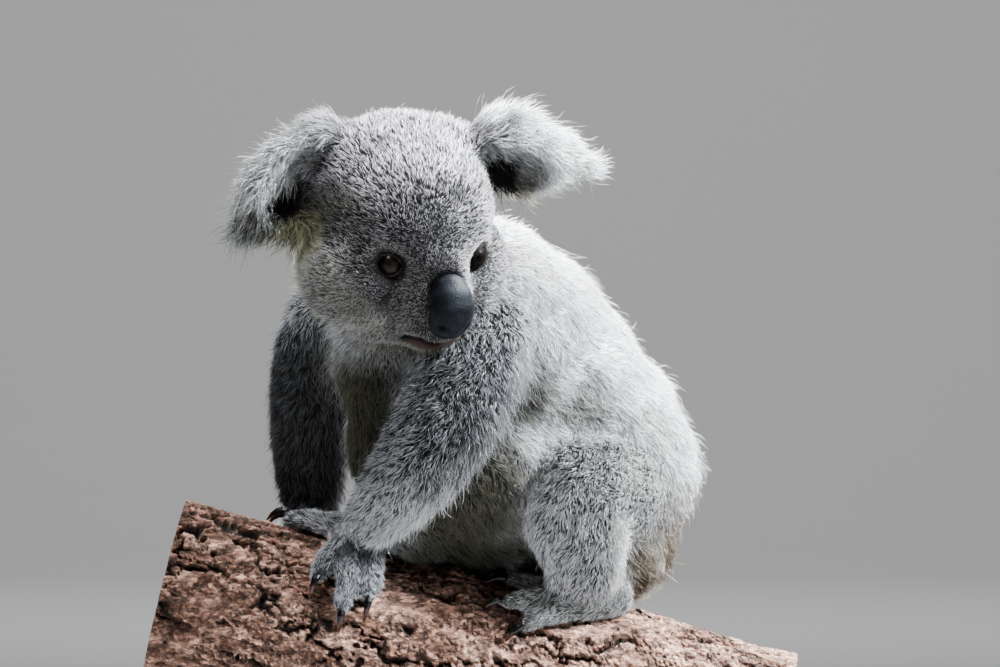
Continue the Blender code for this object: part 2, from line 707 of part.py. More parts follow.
left_hand_cutters = []
for side in ("left", "right"):
    arm = make_arm(side)
    if side == "right":
        for cutter in left_hand_cutters:
            cut(arm, cutter)
    arm_cutter = swollen(arm)
    left_hand_cutters.append(arm_cutter)
    cut(trunk, arm_cutter)
    leg = make_leg(side)
    foot = make_foot(side)
    foot_cutter = swollen(foot)
    cut(trunk, swollen(leg))
    cut(trunk, foot_cutter)
    cut(leg, foot_cutter)
    for piece in (arm, leg, foot):
        cut(piece, branch_cutter)
    cut(arm, head_cutter)
    fused, fourth, fifth, _ = TOES[side]
    claws = [
        *((f"hand_{side}_{number}", rows, 0.0, arm_cutter) for number, rows in enumerate(DIGITS[side], 1)),
        (f"foot_{side}_2", fused, -TWIN_CLAWS, foot_cutter),
        (f"foot_{side}_3", fused, TWIN_CLAWS, foot_cutter),
        (f"foot_{side}_4", fourth, 0.0, foot_cutter),
        (f"foot_{side}_5", fifth, 0.0, foot_cutter),
    ]
    for place, rows, aside, flesh in claws:
        claw = make_claw("claw_" + place, rows, aside)
        cut(claw, flesh)
        cut(claw, branch_cutter)
        claw_cutter = make_claw(f"claw_{place}_cutter", rows, aside, grow=GAP)
        hide_cutter(claw_cutter)
        cut(trunk, claw_cutter)
        if side == "left" and place.startswith("hand"):
            left_hand_cutters.append(claw_cutter)
        finish_node(claw, "claw_black", 0.35)
    for piece in part_limb(arm, [f"upper_arm_{side}", f"forearm_{side}", f"hand_{side}"], arm_cuts(side)):
        finish_node(piece, "fur_grey")
    for piece in part_limb(leg, [f"thigh_{side}", f"shin_{side}"], knee_cuts(side)):
        finish_node(piece, "fur_grey")
    finish_node(foot, "fur_grey")

for piece in part_limb(trunk, ["neck", "chest", "belly", "rump"], TRUNK_CUTS):
    finish_node(piece, "fur_grey")

finish_node(head, "fur_grey")
finish_node(nose, "nose_black", 0.5)
for side in ("left", "right"):
    finish_node(ears[side], "fur_grey")
    finish_node(eyes[side], "eye_brown", 0.1)
finish_node(branch, "bark", 0.9)
finish_node(base, "stand_wood", 0.4)
for rod in rods:
    finish_node(rod, "stand_steel", 0.3, metallic=1.0)
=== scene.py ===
"""Looks for the koala on its perch: one skin under a coat of solid tufts, with eyes, nose, bark and stand."""

import json
import math

import bmesh
import bpy
import numpy as np
from mathutils import Matrix, Vector
from mathutils.bvhtree import BVHTree
from mathutils.kdtree import KDTree


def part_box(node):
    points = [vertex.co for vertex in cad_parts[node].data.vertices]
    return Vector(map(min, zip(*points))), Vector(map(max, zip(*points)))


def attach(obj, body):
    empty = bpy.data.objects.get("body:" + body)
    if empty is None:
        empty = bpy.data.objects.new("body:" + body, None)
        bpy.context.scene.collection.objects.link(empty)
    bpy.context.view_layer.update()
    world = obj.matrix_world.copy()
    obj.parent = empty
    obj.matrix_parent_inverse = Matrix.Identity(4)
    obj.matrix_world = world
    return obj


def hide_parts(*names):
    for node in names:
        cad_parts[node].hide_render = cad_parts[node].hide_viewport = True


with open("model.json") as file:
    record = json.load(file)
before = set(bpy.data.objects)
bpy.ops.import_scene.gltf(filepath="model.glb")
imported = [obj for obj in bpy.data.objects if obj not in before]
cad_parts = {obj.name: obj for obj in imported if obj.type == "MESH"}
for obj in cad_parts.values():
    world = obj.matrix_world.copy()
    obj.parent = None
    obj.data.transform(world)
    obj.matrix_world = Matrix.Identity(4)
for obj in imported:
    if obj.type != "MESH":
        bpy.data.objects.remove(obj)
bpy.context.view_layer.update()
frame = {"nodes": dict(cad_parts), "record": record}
NODES = frame["nodes"]

MM = 0.001
FULL_TURN = 2 * math.pi
SIDES = ("left", "right")

# The head's frame (forward, left, up) and the ears' places, as the solids have them, in mm
HEAD_CENTRE = Vector((-31.0, -84.0, 364.0))
HEAD_YAW, HEAD_PITCH, HEAD_ROLL = math.radians(28.0), math.radians(25.0), math.radians(5.5)
EYE_RADIUS = 7.0
EYE_LOOK = Vector((0.72, 0.62, 0.03))
# Each ear's middle, the way that it reaches and the way that its hollow faces
EAR_FRAMES = {
    "left": (Vector((31.0, -63.0, 409.0)), Vector((0.93, 0.30, -0.20)), Vector((0.0, -0.64, -0.77))),
    "right": (Vector((-91.0, -104.0, 392.0)), Vector((-0.62, -0.27, -0.70)), Vector((0.16, -0.84, -0.50))),
}
# The hollow of each ear: its middle, and half sizes along (facing, reach, across)
EAR_HOLLOW = {
    "left": ((20.0, -74.0, 400.0), (16.0, 20.0, 17.0)),
    "right": ((-78.0, -112.5, 391.0), (17.0, 26.0, 17.0)),
}
# The painted shade in front of each hollow, where the hollow lies in shade: its middle, half sizes along and
# up, and slope
EAR_SHADE_PATCH = {
    "left": ((12.0, -90.0, 399.0), (8.5, 12.5), 0.0),
    "right": ((-69.0, -118.0, 389.5), (30.0, 9.5), math.radians(9.0)),
}
BRANCH_RADIUS, BRANCH_LENGTH = 47.0, 318.0
BRANCH_SLOPE = math.radians(13.7)
BRANCH_MIDDLE = Vector((0.0, 0.0, 153.0))

SKIN_VOXEL = 1.9  # mm
FLESH = sorted(s["node"] for s in frame["record"]["subparts"] if s["material_slot"] == "fur_grey")
CLAWS = sorted(n for n in NODES if n.startswith("claw_"))


# ---------------------------------------------------------------- small helpers


def tone(red, green, blue):
    """A colour given in the usual 0 to 255 steps, as linear numbers."""
    return (np.array((red, green, blue), float) / 255.0) ** 2.2


def toned(stops, level=1.0):
    """Stops of a colour ramp with their colours as linear numbers, scaled by the level."""
    return [(place, level * tone(*colour)) for place, colour in stops]


def unit(rows):
    """Each row, scaled to a length of 1."""
    return rows / np.maximum(np.linalg.norm(rows, axis=-1, keepdims=True), 1e-12)


def smoothstep(low, high, value):
    """0 before low, 1 beyond high and a smooth rise between; low may be over high."""
    t = np.clip((value - low) / (high - low), 0.0, 1.0)
    return t * t * (3.0 - 2.0 * t)


def bell(value, middle, width):
    """1 at the middle, falling off smoothly on both sides."""
    return np.exp(-(((value - middle) / width) ** 2))


def wobble(points, wavelength, seed, terms=7):
    """A smooth random field of about -1 to 1 over points in metres; wavelength is in mm."""
    rng = np.random.default_rng(seed)
    total = np.zeros(len(points))
    for _ in range(terms):
        way = unit(rng.normal(size=3)) * (FULL_TURN / (wavelength * MM)) * rng.uniform(0.6, 1.5)
        total += np.sin(points @ way + rng.uniform(0, FULL_TURN))
    return total / math.sqrt(terms / 2.0) * 0.7


def heading(yaw, pitch):
    """Axes (forward, left, up) of a head that is turned to its left by yaw and bowed by pitch."""
    forward = Vector((math.sin(yaw), -math.cos(yaw), 0.0))
    left = Vector((math.cos(yaw), math.sin(yaw), 0.0))
    level = Matrix((forward, left, Vector((0.0, 0.0, 1.0)))).transposed()
    return level @ Matrix.Rotation(pitch, 3, "Y")


HEAD_TURN = Matrix.Rotation(-HEAD_ROLL, 3, Vector((0.0, 1.0, 0.0))) @ heading(HEAD_YAW, HEAD_PITCH)


def head_local(points):
    """Points in metres, in the head's frame in mm."""
    return (points / MM - np.array(HEAD_CENTRE)) @ np.array(HEAD_TURN)


def in_head(spot):
    """A place of the head's frame in mm, as one in metres."""
    return (HEAD_CENTRE + HEAD_TURN @ Vector(spot)) * MM


def ear_axes(side):
    """An ear's axes: facing, reach and across."""
    _, reach, facing = EAR_FRAMES[side]
    reach = reach.normalized()
    facing = (facing - facing.dot(reach) * reach).normalized()
    return np.array((facing, reach, facing.cross(reach)))


def ear_local(points, side):
    """Points in metres as (facing, reach, across) in mm from the ear's middle."""
    return (points / MM - np.array(EAR_FRAMES[side][0])) @ ear_axes(side).T


def ear_hollow(points, side):
    """How far points in metres are from the middle of the ear's hollow: 1 at the hollow's wall."""
    spot, radii = EAR_HOLLOW[side]
    return np.linalg.norm((points / MM - np.array(spot)) @ ear_axes(side).T / np.array(radii), axis=1)


def box_middle(name):
    """The middle of a CAD node's box."""
    low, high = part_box(name)
    return (low + high) / 2


def settle(obj):
    """Replaces the object's mesh by what its modifiers make of it."""
    bpy.context.view_layer.update()
    graph = bpy.context.evaluated_depsgraph_get()
    mesh = bpy.data.meshes.new_from_object(obj.evaluated_get(graph))
    obj.modifiers.clear()
    obj.data = mesh
    return obj


def placed(name, data):
    """A new object of the scene with this data."""
    made = bpy.data.objects.new(name, data)
    bpy.context.scene.collection.objects.link(made)
    return made


def object_of(name, bm):
    """A new object with the bmesh's mesh; the bmesh is freed."""
    mesh = bpy.data.meshes.new(name)
    bm.to_mesh(mesh)
    bm.free()
    return placed(name, mesh)


def mesh_of(name, points, triangles):
    """A mesh from arrays of points and triangles."""
    mesh = bpy.data.meshes.new(name)
    mesh.vertices.add(len(points))
    mesh.vertices.foreach_set("co", np.ascontiguousarray(points, np.float32).ravel())
    mesh.loops.add(3 * len(triangles))
    mesh.polygons.add(len(triangles))
    mesh.loops.foreach_set("vertex_index", np.ascontiguousarray(triangles, np.int32).ravel())
    mesh.polygons.foreach_set("loop_start", np.arange(0, 3 * len(triangles), 3, dtype=np.int32))
    mesh.update(calc_edges=True)
    return mesh


def dress(mesh, *materials):
    """Gives the mesh these materials alone, and smooth shading."""
    mesh.materials.clear()
    for material in materials:
        mesh.materials.append(material)
    mesh.shade_smooth()


def shown(obj, slot_name, *nodes):
    """Puts the piece on the one body, in place of the CAD nodes if any are given; slot_name is not used."""
    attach(obj, "root")
    if nodes:
        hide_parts(*nodes)


def paint(mesh, name, colours):
    """Stores one linear colour for each vertex."""
    rows = np.ones((len(mesh.vertices), 4), np.float32)
    rows[:, :3] = colours
    layer = mesh.color_attributes.new(name, "FLOAT_COLOR", "POINT")
    layer.data.foreach_set("color", rows.ravel())


def store_vectors(mesh, name, rows):
    """Stores one vector for each vertex."""
    layer = mesh.attributes.new(name, "FLOAT_VECTOR", "POINT")
    layer.data.foreach_set("vector", rows.astype(np.float32).ravel())


def read_array(rows, key, width, kind=np.float32):
    """An array of a mesh's own numbers."""
    values = np.empty(width * len(rows), kind)
    rows.foreach_get(key, values)
    return values.reshape(-1, width)


def vertex_array(mesh):
    return read_array(mesh.vertices, "co", 3).astype(float)


def normal_array(mesh):
    return read_array(mesh.vertex_normals, "vector", 3).astype(float)


def put_points(mesh, points):
    mesh.vertices.foreach_set("co", points.astype(np.float32).ravel())
    mesh.update()


class Spreader:
    """Averages values over neighbouring vertices of a mesh."""

    def __init__(self, mesh):
        pairs = read_array(mesh.edges, "vertices", 2, np.int32)
        self.start = np.concatenate((pairs[:, 0], pairs[:, 1]))
        self.end = np.concatenate((pairs[:, 1], pairs[:, 0]))
        self.count = len(mesh.vertices)
        self.degree = np.maximum(np.bincount(self.start, minlength=self.count), 1)

    def __call__(self, values, times, share=0.5):
        flat = values.reshape(self.count, -1).astype(float)
        for _ in range(times):
            for k in range(flat.shape[1]):
                total = np.bincount(self.start, weights=flat[self.end, k], minlength=self.count)
                flat[:, k] += share * (total / self.degree - flat[:, k])
        return flat.reshape(values.shape)


# ---------------------------------------------------------------- body regions

# Coat by part of the body: depth, tuft length and width in mm, lift in degrees and tufts for each
# square mm
GROUPS = {
    "head": dict(nodes=["head"], depth=2.6, length=4.4, width=0.515, lift=52, thick=2.13),
    "ear": dict(nodes=["ear_left", "ear_right"], depth=3.6, length=10.5, width=0.66, lift=30, thick=1.25),
    "neck": dict(nodes=["neck"], depth=4.6, length=8.0, width=0.66, lift=28, thick=1.15),
    "chest": dict(nodes=["chest"], depth=4.6, length=8.0, width=0.66, lift=27, thick=1.15),
    "belly": dict(nodes=["belly"], depth=4.6, length=8.0, width=0.66, lift=27, thick=1.15),
    "rump": dict(nodes=["rump"], depth=4.6, length=8.0, width=0.66, lift=26, thick=1.15),
    "arm": dict(nodes=["upper_arm_left", "forearm_left", "upper_arm_right", "forearm_right"],
                depth=3.6, length=6.0, width=0.50, lift=44, thick=1.7),
    "leg": dict(nodes=["thigh_left", "thigh_right", "shin_left", "shin_right"],
                depth=3.6, length=5.8, width=0.48, lift=43, thick=1.7),
    "hand": dict(nodes=["hand_left", "hand_right"], depth=1.6, length=5.2, width=0.48, lift=27, thick=2.3),
    "foot": dict(nodes=["foot_left", "foot_right"], depth=1.6, length=4.6, width=0.46, lift=26, thick=2.3),
}
GROUP_NAMES = list(GROUPS)
GROUP_OF = {node: i for i, g in enumerate(GROUPS.values()) for node in g["nodes"]}
NODE_GROUP = np.array([GROUP_OF[name] for name in FLESH])
TRUNK = ("neck", "chest", "belly", "rump")


def field(weights, key):
    """A number of the groups, mixed by the weights."""
    return weights @ np.array([g[key] for g in GROUPS.values()], float)


def part_of(weights, *names):
    """The named groups' share of the weights."""
    return weights[:, [GROUP_NAMES.index(name) for name in names]].sum(axis=1)


def joined(names, grow):
    """One bmesh of the named solids, each grown a little, and the place in names of each face's solid."""
    whole, labels = bmesh.new(), []
    for index, name in enumerate(names):
        part = bmesh.new()
        part.from_mesh(NODES[name].data)
        bmesh.ops.remove_doubles(part, verts=part.verts, dist=1e-6)
        part.normal_update()
        for vert, shift in [(v, v.normal * grow) for v in part.verts]:
            vert.co += shift
        mesh = bpy.data.meshes.new("part")
        part.to_mesh(mesh)
        part.free()
        whole.from_mesh(mesh)
        labels += [index] * len(mesh.polygons)
        bpy.data.meshes.remove(mesh)
    return whole, labels


def tree_of(names):
    """A search tree of the named solids, and the place in names of each face's solid."""
    bm, labels = joined(names, 0.0)
    tree = BVHTree.FromBMesh(bm)
    bm.free()
    return tree, labels


FLESH_TREE, FLESH_LABELS = tree_of(FLESH)
NOSE_TREE, _ = tree_of(["nose"])


def flesh_node(points):
    """The place in FLESH of the node that each point is nearest to."""
    return np.array([FLESH_LABELS[FLESH_TREE.find_nearest(p)[2]] for p in points])


def group_rows(flesh_nodes):
    """A row of group weights for each point, all on its own node's group."""
    return np.eye(len(GROUPS))[NODE_GROUP[flesh_nodes]]


def gap_to(tree, points):
    """Distance in mm from each point to the solids of the tree."""
    return np.array([tree.find_nearest(p)[3] for p in points]) / MM


def eye_distance(points):
    """Distance in mm to the nearer eye's middle."""
    eyes = [np.array(box_middle(f"eye_{side}")) for side in SIDES]
    return np.min([np.linalg.norm(points - eye, axis=1) for eye in eyes], axis=0) / MM


EYE_HEIGHT = head_local(np.array([box_middle("eye_left")]))[0, 2]


def remeshed(obj, voxel, smoothing):
    """Fuses the object's pieces in one skin of voxels, of this size in mm, and smooths it."""
    remesh = obj.modifiers.new("fuse", "REMESH")
    remesh.mode = "VOXEL"
    remesh.voxel_size = voxel * MM
    smooth = obj.modifiers.new("round", "SMOOTH")
    smooth.factor = 0.5
    smooth.iterations = smoothing
    return settle(obj)


def on_ear(points, weights, side):
    """1 over the side's ear and 0 elsewhere."""
    return smoothstep(58.0, 48.0, np.linalg.norm(ear_local(points, side), axis=1)) * weights[:, 1]


def ear_rim(points, side):
    """1 along the outer edge of an ear and 0 over its middle and its root."""
    ear = ear_local(points, side)
    near = smoothstep(62.0, 52.0, np.linalg.norm(ear, axis=1))
    return near * smoothstep(0.50, 0.95, np.hypot(np.maximum(ear[:, 1], 0.0) / 34.0, ear[:, 2] / 28.0))


def arm_edge(normals):
    """1 where an arm's skin faces under and to the rear."""
    return smoothstep(0.25, 0.85, normals @ unit(np.array((0.62, 0.1, -0.75))))


def branch_gap(points):
    """Distance in mm from the plain round surface of the branch."""
    offset = points / MM - np.array(BRANCH_MIDDLE)
    way = np.array((math.cos(BRANCH_SLOPE), 0.0, -math.sin(BRANCH_SLOPE)))
    return np.linalg.norm(offset - (offset @ way)[:, None] * way, axis=1) - BRANCH_RADIUS


def coat_depth(points, weights):
    """How far the skin lies under the tips of the coat, in mm: less at the face, the eyes and the bark."""
    head = weights[:, 0]
    front = smoothstep(14.0, 34.0, head_local(points)[:, 0]) * head
    near_eye = 0.35 + 0.65 * smoothstep(7.5, 14.0, eye_distance(points))
    depth = field(weights, "depth") * (1.0 - 0.45 * front)
    depth = depth * np.where(head > 0.5, near_eye, 1.0)
    for side in SIDES:
        depth = depth + 5.5 * ear_rim(points, side) * weights[:, 1]
    return depth * (0.25 + 0.75 * smoothstep(3.0, 13.0, branch_gap(points)))


def make_skin():
    """One closed skin through all the flesh, set in by the coat's depth, its digits parted by deeper gaps."""
    bm, _ = joined(FLESH, 0.5 * MM)
    skin = remeshed(object_of("skin", bm), SKIN_VOXEL, 9)
    spread, points = Spreader(skin.data), vertex_array(skin.data)
    depth = spread(coat_depth(points, spread(group_rows(flesh_node(points)), 14)), 4)
    put_points(skin.data, points - normal_array(skin.data) * depth[:, None] * MM)
    skin = remeshed(skin, SKIN_VOXEL, 4)
    spread, points = Spreader(skin.data), vertex_array(skin.data)
    digits = part_of(spread(group_rows(flesh_node(points)), 5), "hand", "foot")
    relief = points - spread(points, 16)
    inward = np.sum(relief * normal_array(skin.data), axis=1) < 0
    put_points(skin.data, points + relief * (digits * np.where(inward, 2.4, 0.2))[:, None])
    return skin


# The mouth, in the head's frame: the height of its line at places from its corner forward
MOUTH_FORWARD = np.array((24.0, 29.0, 33.0, 37.0, 42.0, 60.0))
MOUTH_HEIGHT = np.array((-38.0, -35.0, -32.4, -31.2, -30.8, -30.6))
MOUTH_DIP = 3.2  # how far the line sinks under the middle of the nose


def under_mouth(local):
    """For points of the head's frame: mm over the mouth line, whether on the lips, and the lip's height."""
    dip = MOUTH_DIP * smoothstep(11.0, 2.0, np.abs(local[:, 1]))
    over = local[:, 2] - np.interp(local[:, 0], MOUTH_FORWARD, MOUTH_HEIGHT) + dip
    lip = 2.6 + 4.2 * smoothstep(28.0, 37.0, local[:, 0])
    return over, smoothstep(27.0, 30.5, local[:, 0]), lip


def refine(obj, chosen, times):
    """Splits the faces whose middles the test picks."""
    bm = bmesh.new()
    bm.from_mesh(obj.data)
    for _ in range(times):
        faces = [f for f in bm.faces if chosen(f.calc_center_median())]
        edges = list({e for f in faces for e in f.edges})
        bmesh.ops.subdivide_edges(bm, edges=edges, cuts=1, use_grid_fill=True, smooth=0.0)
    bm.to_mesh(obj.data)
    bm.free()
    obj.data.update()


def by_the_mouth(spot):
    """Whether a place lies where the mouth is cut."""
    local = head_local(np.array([spot]))[0]
    return local[0] > 24.0 and -48.0 < local[2] < -25.0 and abs(local[1]) < 22.0


def sculpt_mouth(obj):
    """Presses the mouth line in and rounds out the lips."""
    refine(obj, by_the_mouth, 2)
    mesh = obj.data
    points = vertex_array(mesh)
    soft = Spreader(mesh)(points, 6)
    points = np.where((head_local(points)[:, 0] > 25.0)[:, None], soft, points)
    put_points(mesh, points)
    local = head_local(points)
    over, lips, lip = under_mouth(local)
    head = np.linalg.norm(local, axis=1) < 75.0
    shift = 0.8 * bell(over, 2.1, 1.5) - 1.7 * bell(over, 0.0, 0.8)
    shift = shift + 0.22 * lip * bell(over, -0.5 * lip, 0.36 * lip)
    shift = shift * lips * head * smoothstep(-12.0, -9.0, over) * smoothstep(8.0, 5.0, over)
    put_points(mesh, points + normal_array(mesh) * shift[:, None] * MM)


SKIN = make_skin()
sculpt_mouth(SKIN)
SPREAD = Spreader(SKIN.data)
SKIN_POINTS = vertex_array(SKIN.data)
SKIN_NORMALS = normal_array(SKIN.data)
SKIN_NODE = flesh_node(SKIN_POINTS)
WEIGHTS = SPREAD(group_rows(SKIN_NODE), 10)
TONE_WEIGHTS = SPREAD(WEIGHTS, 45)


# ---------------------------------------------------------------- the lie of the coat

# Which way the hair runs on each node: from the first named node's middle to the second's
LIES = {
    "neck": ("head", "chest"), "chest": ("neck", "belly"),
    "belly": ("chest", "rump"), "rump": ("chest", "rump"),
}
for _side in SIDES:
    LIES[f"upper_arm_{_side}"] = (f"upper_arm_{_side}", f"forearm_{_side}")
    LIES[f"forearm_{_side}"] = (f"upper_arm_{_side}", f"hand_{_side}")
    LIES[f"thigh_{_side}"] = ("rump", f"shin_{_side}")
    LIES[f"shin_{_side}"] = (f"thigh_{_side}", f"foot_{_side}")
# Added to that on the trunk, and in front of the ears, where the hair hangs down
HANG = {"chest": (0.0, 0.0, -0.35), "belly": (0.0, 0.0, -0.35), "rump": (0.25, 0.0, -0.9)}
EAR_HANG = (0.0, 0.0, -0.45)
NOSE_MIDDLE = (56.0, 0.0, -8.0)  # in the head's frame; the head's hair runs away from it


def lie_on_ear(points, side):
    """Along the ear and out to its edge, hanging down from its front."""
    axes, local = ear_axes(side), ear_local(points, side)
    out = unit(np.stack((0 * local[:, 0], np.maximum(local[:, 1] + 10.0, 0.0), local[:, 2]), 1)) @ axes
    return axes[1] + 0.75 * out + np.array(EAR_HANG) * smoothstep(0.0, 6.0, local[:, 0])[:, None]


def lie_on_digits(points, name):
    """From the middle of the hand or foot to the nearest claw."""
    ends = np.array([box_middle(n) for n in NODES if n.startswith(f"claw_{name}")])
    gaps = np.linalg.norm(points[:, None] - ends[None], axis=2)
    return unit(ends[np.argmin(gaps, axis=1)] - np.array(box_middle(name)))


def lie_of_coat(points, normals, nodes):
    """Unit directions along the skin in which the hair lies."""
    way = np.zeros_like(points)
    for index, name in enumerate(FLESH):
        here = nodes == index
        if name in LIES:
            start, end = LIES[name]
            hang = np.array(HANG.get(name, (0.0, 0.0, 0.0)))
            way[here] = unit(np.array(box_middle(end) - box_middle(start))) + hang
        elif name == "head":
            way[here] = unit(points[here] - np.array(in_head(NOSE_MIDDLE)))
        elif name.startswith("ear"):
            way[here] = lie_on_ear(points[here], name[4:])
        else:
            way[here] = lie_on_digits(points[here], name)
    way = SPREAD(way, 26)
    way -= normals * np.sum(way * normals, axis=1, keepdims=True)
    return unit(SPREAD(unit(way), 4))


LIE = lie_of_coat(SKIN_POINTS, SKIN_NORMALS, SKIN_NODE)


# ---------------------------------------------------------------- marks, painted light and shade among them

# For each group: tip, root and dark tuft tones, and the share of dark tufts
PALETTE = {
    "head": ((194, 192, 196), (13, 12, 13), (12, 11, 12), 0.50),
    "ear": ((244, 245, 248), (150, 148, 150), (120, 118, 121), 0.16),
    # the trunk's pale coat, made near white partly as painted light from above and behind
    "neck": ((248, 250, 254), (178, 178, 180), (154, 153, 155), 0.15),
    "chest": ((249, 251, 254), (180, 180, 182), (154, 153, 155), 0.16),
    "belly": ((249, 251, 254), (180, 180, 182), (154, 153, 155), 0.16),
    "rump": ((250, 251, 255), (182, 182, 184), (160, 159, 161), 0.15),
    "arm": ((232, 234, 240), (16, 16, 17), (14, 14, 15), 0.46),
    "leg": ((236, 238, 243), (34, 34, 36), (26, 26, 28), 0.40),
    "hand": ((236, 238, 245), (46, 46, 50), (30, 30, 33), 0.37),
    "foot": ((244, 244, 244), (68, 68, 67), (46, 46, 45), 0.32),
}
# The same for each marking over them, and for the painted light and shade laid over them the same way
MARKINGS_AND_PAINTED_LIGHT = {
    "ruff": ((222, 222, 210), (130, 126, 108), (130, 126, 108), 0.14),
    # painted shade under the chin
    "shade_under_chin": ((126, 125, 108), (56, 54, 43), (56, 54, 43), 0.3),
    # painted light: the top of the head tipped lighter than the face
    "crown": ((236, 235, 240), (38, 35, 37), (36, 33, 35), 0.44),
    # painted shade on the cheek of the head's right side
    "cheek_shade_right": ((98, 97, 95), (12, 11, 11), (12, 11, 11), 0.48),
    # painted shadow of the right ear's roll on the head
    "beside_ear": ((96, 92, 86), (16, 14, 12), (16, 14, 12), 0.42),
    # real pale fur, made paler still as painted light
    "lit_pale_cheek_edge": ((246, 246, 236), (166, 164, 146), (140, 137, 120), 0.06),
    # painted shade on the cheek of the head's left side
    "cheek_shade_left": ((138, 139, 142), (34, 34, 35), (30, 30, 31), 0.34),
    "muzzle": ((170, 168, 169), (16, 15, 15), (16, 15, 15), 0.47),
    # cream front fur, darkened as painted shade
    "cream": ((84, 82, 67), (32, 30, 23), (32, 30, 23), 0.28),
    "arm_edge": ((222, 222, 222), (110, 109, 108), (112, 111, 110), 0.2),
    "arm_middle": ((176, 178, 184), (16, 16, 18), (14, 14, 16), 0.53),
    "wrist": ((236, 238, 243), (70, 70, 74), (52, 52, 56), 0.34),
    "arm_shaded": ((76, 77, 80), (12, 12, 13), (12, 12, 13), 0.5),
    "leg_rear": ((240, 239, 234), (150, 147, 138), (150, 147, 138), 0.10),
    # brownish low rump, darkened as painted shade
    "low_rump": ((126, 116, 92), (64, 56, 41), (64, 56, 41), 0.25),
    "ear_fringe": ((240, 240, 238), (150, 148, 142), (150, 148, 142), 0.08),
    "ear_cream": ((206, 198, 164), (120, 110, 78), (128, 118, 86), 0.12),
    # painted shade on the right ear's lower side
    "ear_under": ((132, 134, 130), (44, 45, 42), (38, 38, 36), 0.34),
    # painted shade in and before each ear's hollow
    "ear_hollow": ((44, 41, 37), (12, 10, 9), (14, 12, 11), 0.6),
    "ear_base": ((172, 167, 130), (88, 84, 60), (96, 91, 66), 0.15),
    "brow": ((206, 200, 200), (70, 66, 66), (70, 66, 66), 0.3),
    "by_lid": ((128, 118, 116), (30, 24, 24), (40, 33, 33), 0.45),
    "chin": ((150, 144, 128), (66, 60, 50), (66, 60, 50), 0.25),
    "pink": ((176, 158, 154), (84, 68, 66), (80, 68, 66), 0.2),
    # painted shade in the mouth's parting
    "shade_in_mouth_parting": ((18, 12, 11), (10, 7, 6), (10, 7, 6), 0.0),
    "nose_rim": ((60, 58, 60), (20, 19, 20), (24, 23, 24), 0.7),
    "mottle": ((222, 219, 214), (150, 142, 134), (150, 143, 137), 0.2),
}
# The bare skin of the lips: by the mouth line, darkened as a painted shadow under the upper lip; lower down;
# at the mouth's corner, darkened as painted shade; and under the nose, darkened as painted shade
LIP_UNDER_SHADOW, LIP_INNER = tone(34, 25, 23), tone(80, 61, 55)
LIP_SHADE_AT_CORNER, LIP_SHADE_UNDER_NOSE = tone(20, 15, 13), tone(24, 20, 19)


class Tones:
    """Tip, root and dark tones and the dark share of many points, which marks and painted light and shade are
    laid over.
    """

    def __init__(self, soft):
        mixed = [soft @ np.array([tone(*PALETTE[n][k]) for n in GROUP_NAMES]) for k in range(3)]
        self.tip, self.root, self.dark = mixed
        self.share = soft @ np.array([PALETTE[n][3] for n in GROUP_NAMES])

    def blend(self, amount, tip, root, dark, share):
        a = np.clip(amount, 0.0, 1.0)[:, None]
        self.tip = self.tip + a * (tip - self.tip)
        self.root = self.root + a * (root - self.root)
        self.dark = self.dark + a * (dark - self.dark)
        self.share = self.share + a[:, 0] * (share - self.share)

    def mark(self, amount, name):
        """Lays one of the marks, painted light and shade among them, over by the amount, from 0 to 1."""
        tip, root, dark, share = MARKINGS_AND_PAINTED_LIGHT[name]
        self.blend(amount, tone(*tip), tone(*root), tone(*dark), share)


def mark_head(tones, points, normals, head, local):
    """Ruff; painted shade under the chin; the crown, tipped lighter as painted light; cheeks, darkened as
    painted shade; the ear roll's painted shadow; the pale cheek fringe, made paler as painted light; and
    muzzle.
    """
    forward, high = local[:, 0], local[:, 2]
    ruff = smoothstep(20.0, 8.0, forward - 0.10 * high) * smoothstep(-2.0, -16.0, high)
    ruff = np.maximum(ruff, smoothstep(-30.0, -40.0, high) * smoothstep(34.0, 20.0, forward))
    tones.mark(ruff * head, "ruff")
    # painted shade under the chin and on the throat
    tones.mark(0.9 * smoothstep(-29.0, -37.0, high) * smoothstep(-4.0, 8.0, forward) * head, "shade_under_chin")
    # painted light from above: the top of the head tipped lighter
    tones.mark(smoothstep(24.0, 46.0, high - 0.4 * forward) * head, "crown")
    x, z = points[:, 0] / MM, points[:, 2] / MM
    # painted shade: darker cheek on the head's right side
    cheek = smoothstep(-38.0, -54.0, x) * smoothstep(392.0, 376.0, z) * smoothstep(318.0, 330.0, z) * head
    tones.mark(0.85 * cheek, "cheek_shade_right")
    # painted shadow cast by the right ear's roll on the head beside it
    beside = np.linalg.norm(np.stack((x + 66.0, z - 383.0), axis=1) / np.array((18.0, 13.0)), axis=1)
    beside = 0.85 * smoothstep(1.1, 0.5, beside)
    tones.mark(beside * smoothstep(0.3, -0.1, normals[:, 1]) * head, "beside_ear")
    # the pale fringe at the cheek's edge, made paler still as painted light
    outer = smoothstep(-1.0, 6.0, -0.765 * (x + 73.0) - 0.643 * (z - 371.0)) * smoothstep(-34.0, -42.0, x)
    outer = outer * smoothstep(378.0, 370.0, z) * smoothstep(314.0, 324.0, z) * head
    tones.mark(0.9 * outer, "lit_pale_cheek_edge")
    # painted shade: darker cheek on the head's left side
    tones.mark(0.7 * smoothstep(4.0, 12.0, x) * smoothstep(386.0, 368.0, z) * head, "cheek_shade_left")
    muzzle = smoothstep(-10.0, 8.0, forward - 0.2 * high) * smoothstep(20.0, 2.0, high) * head
    tones.mark(0.8 * muzzle, "muzzle")


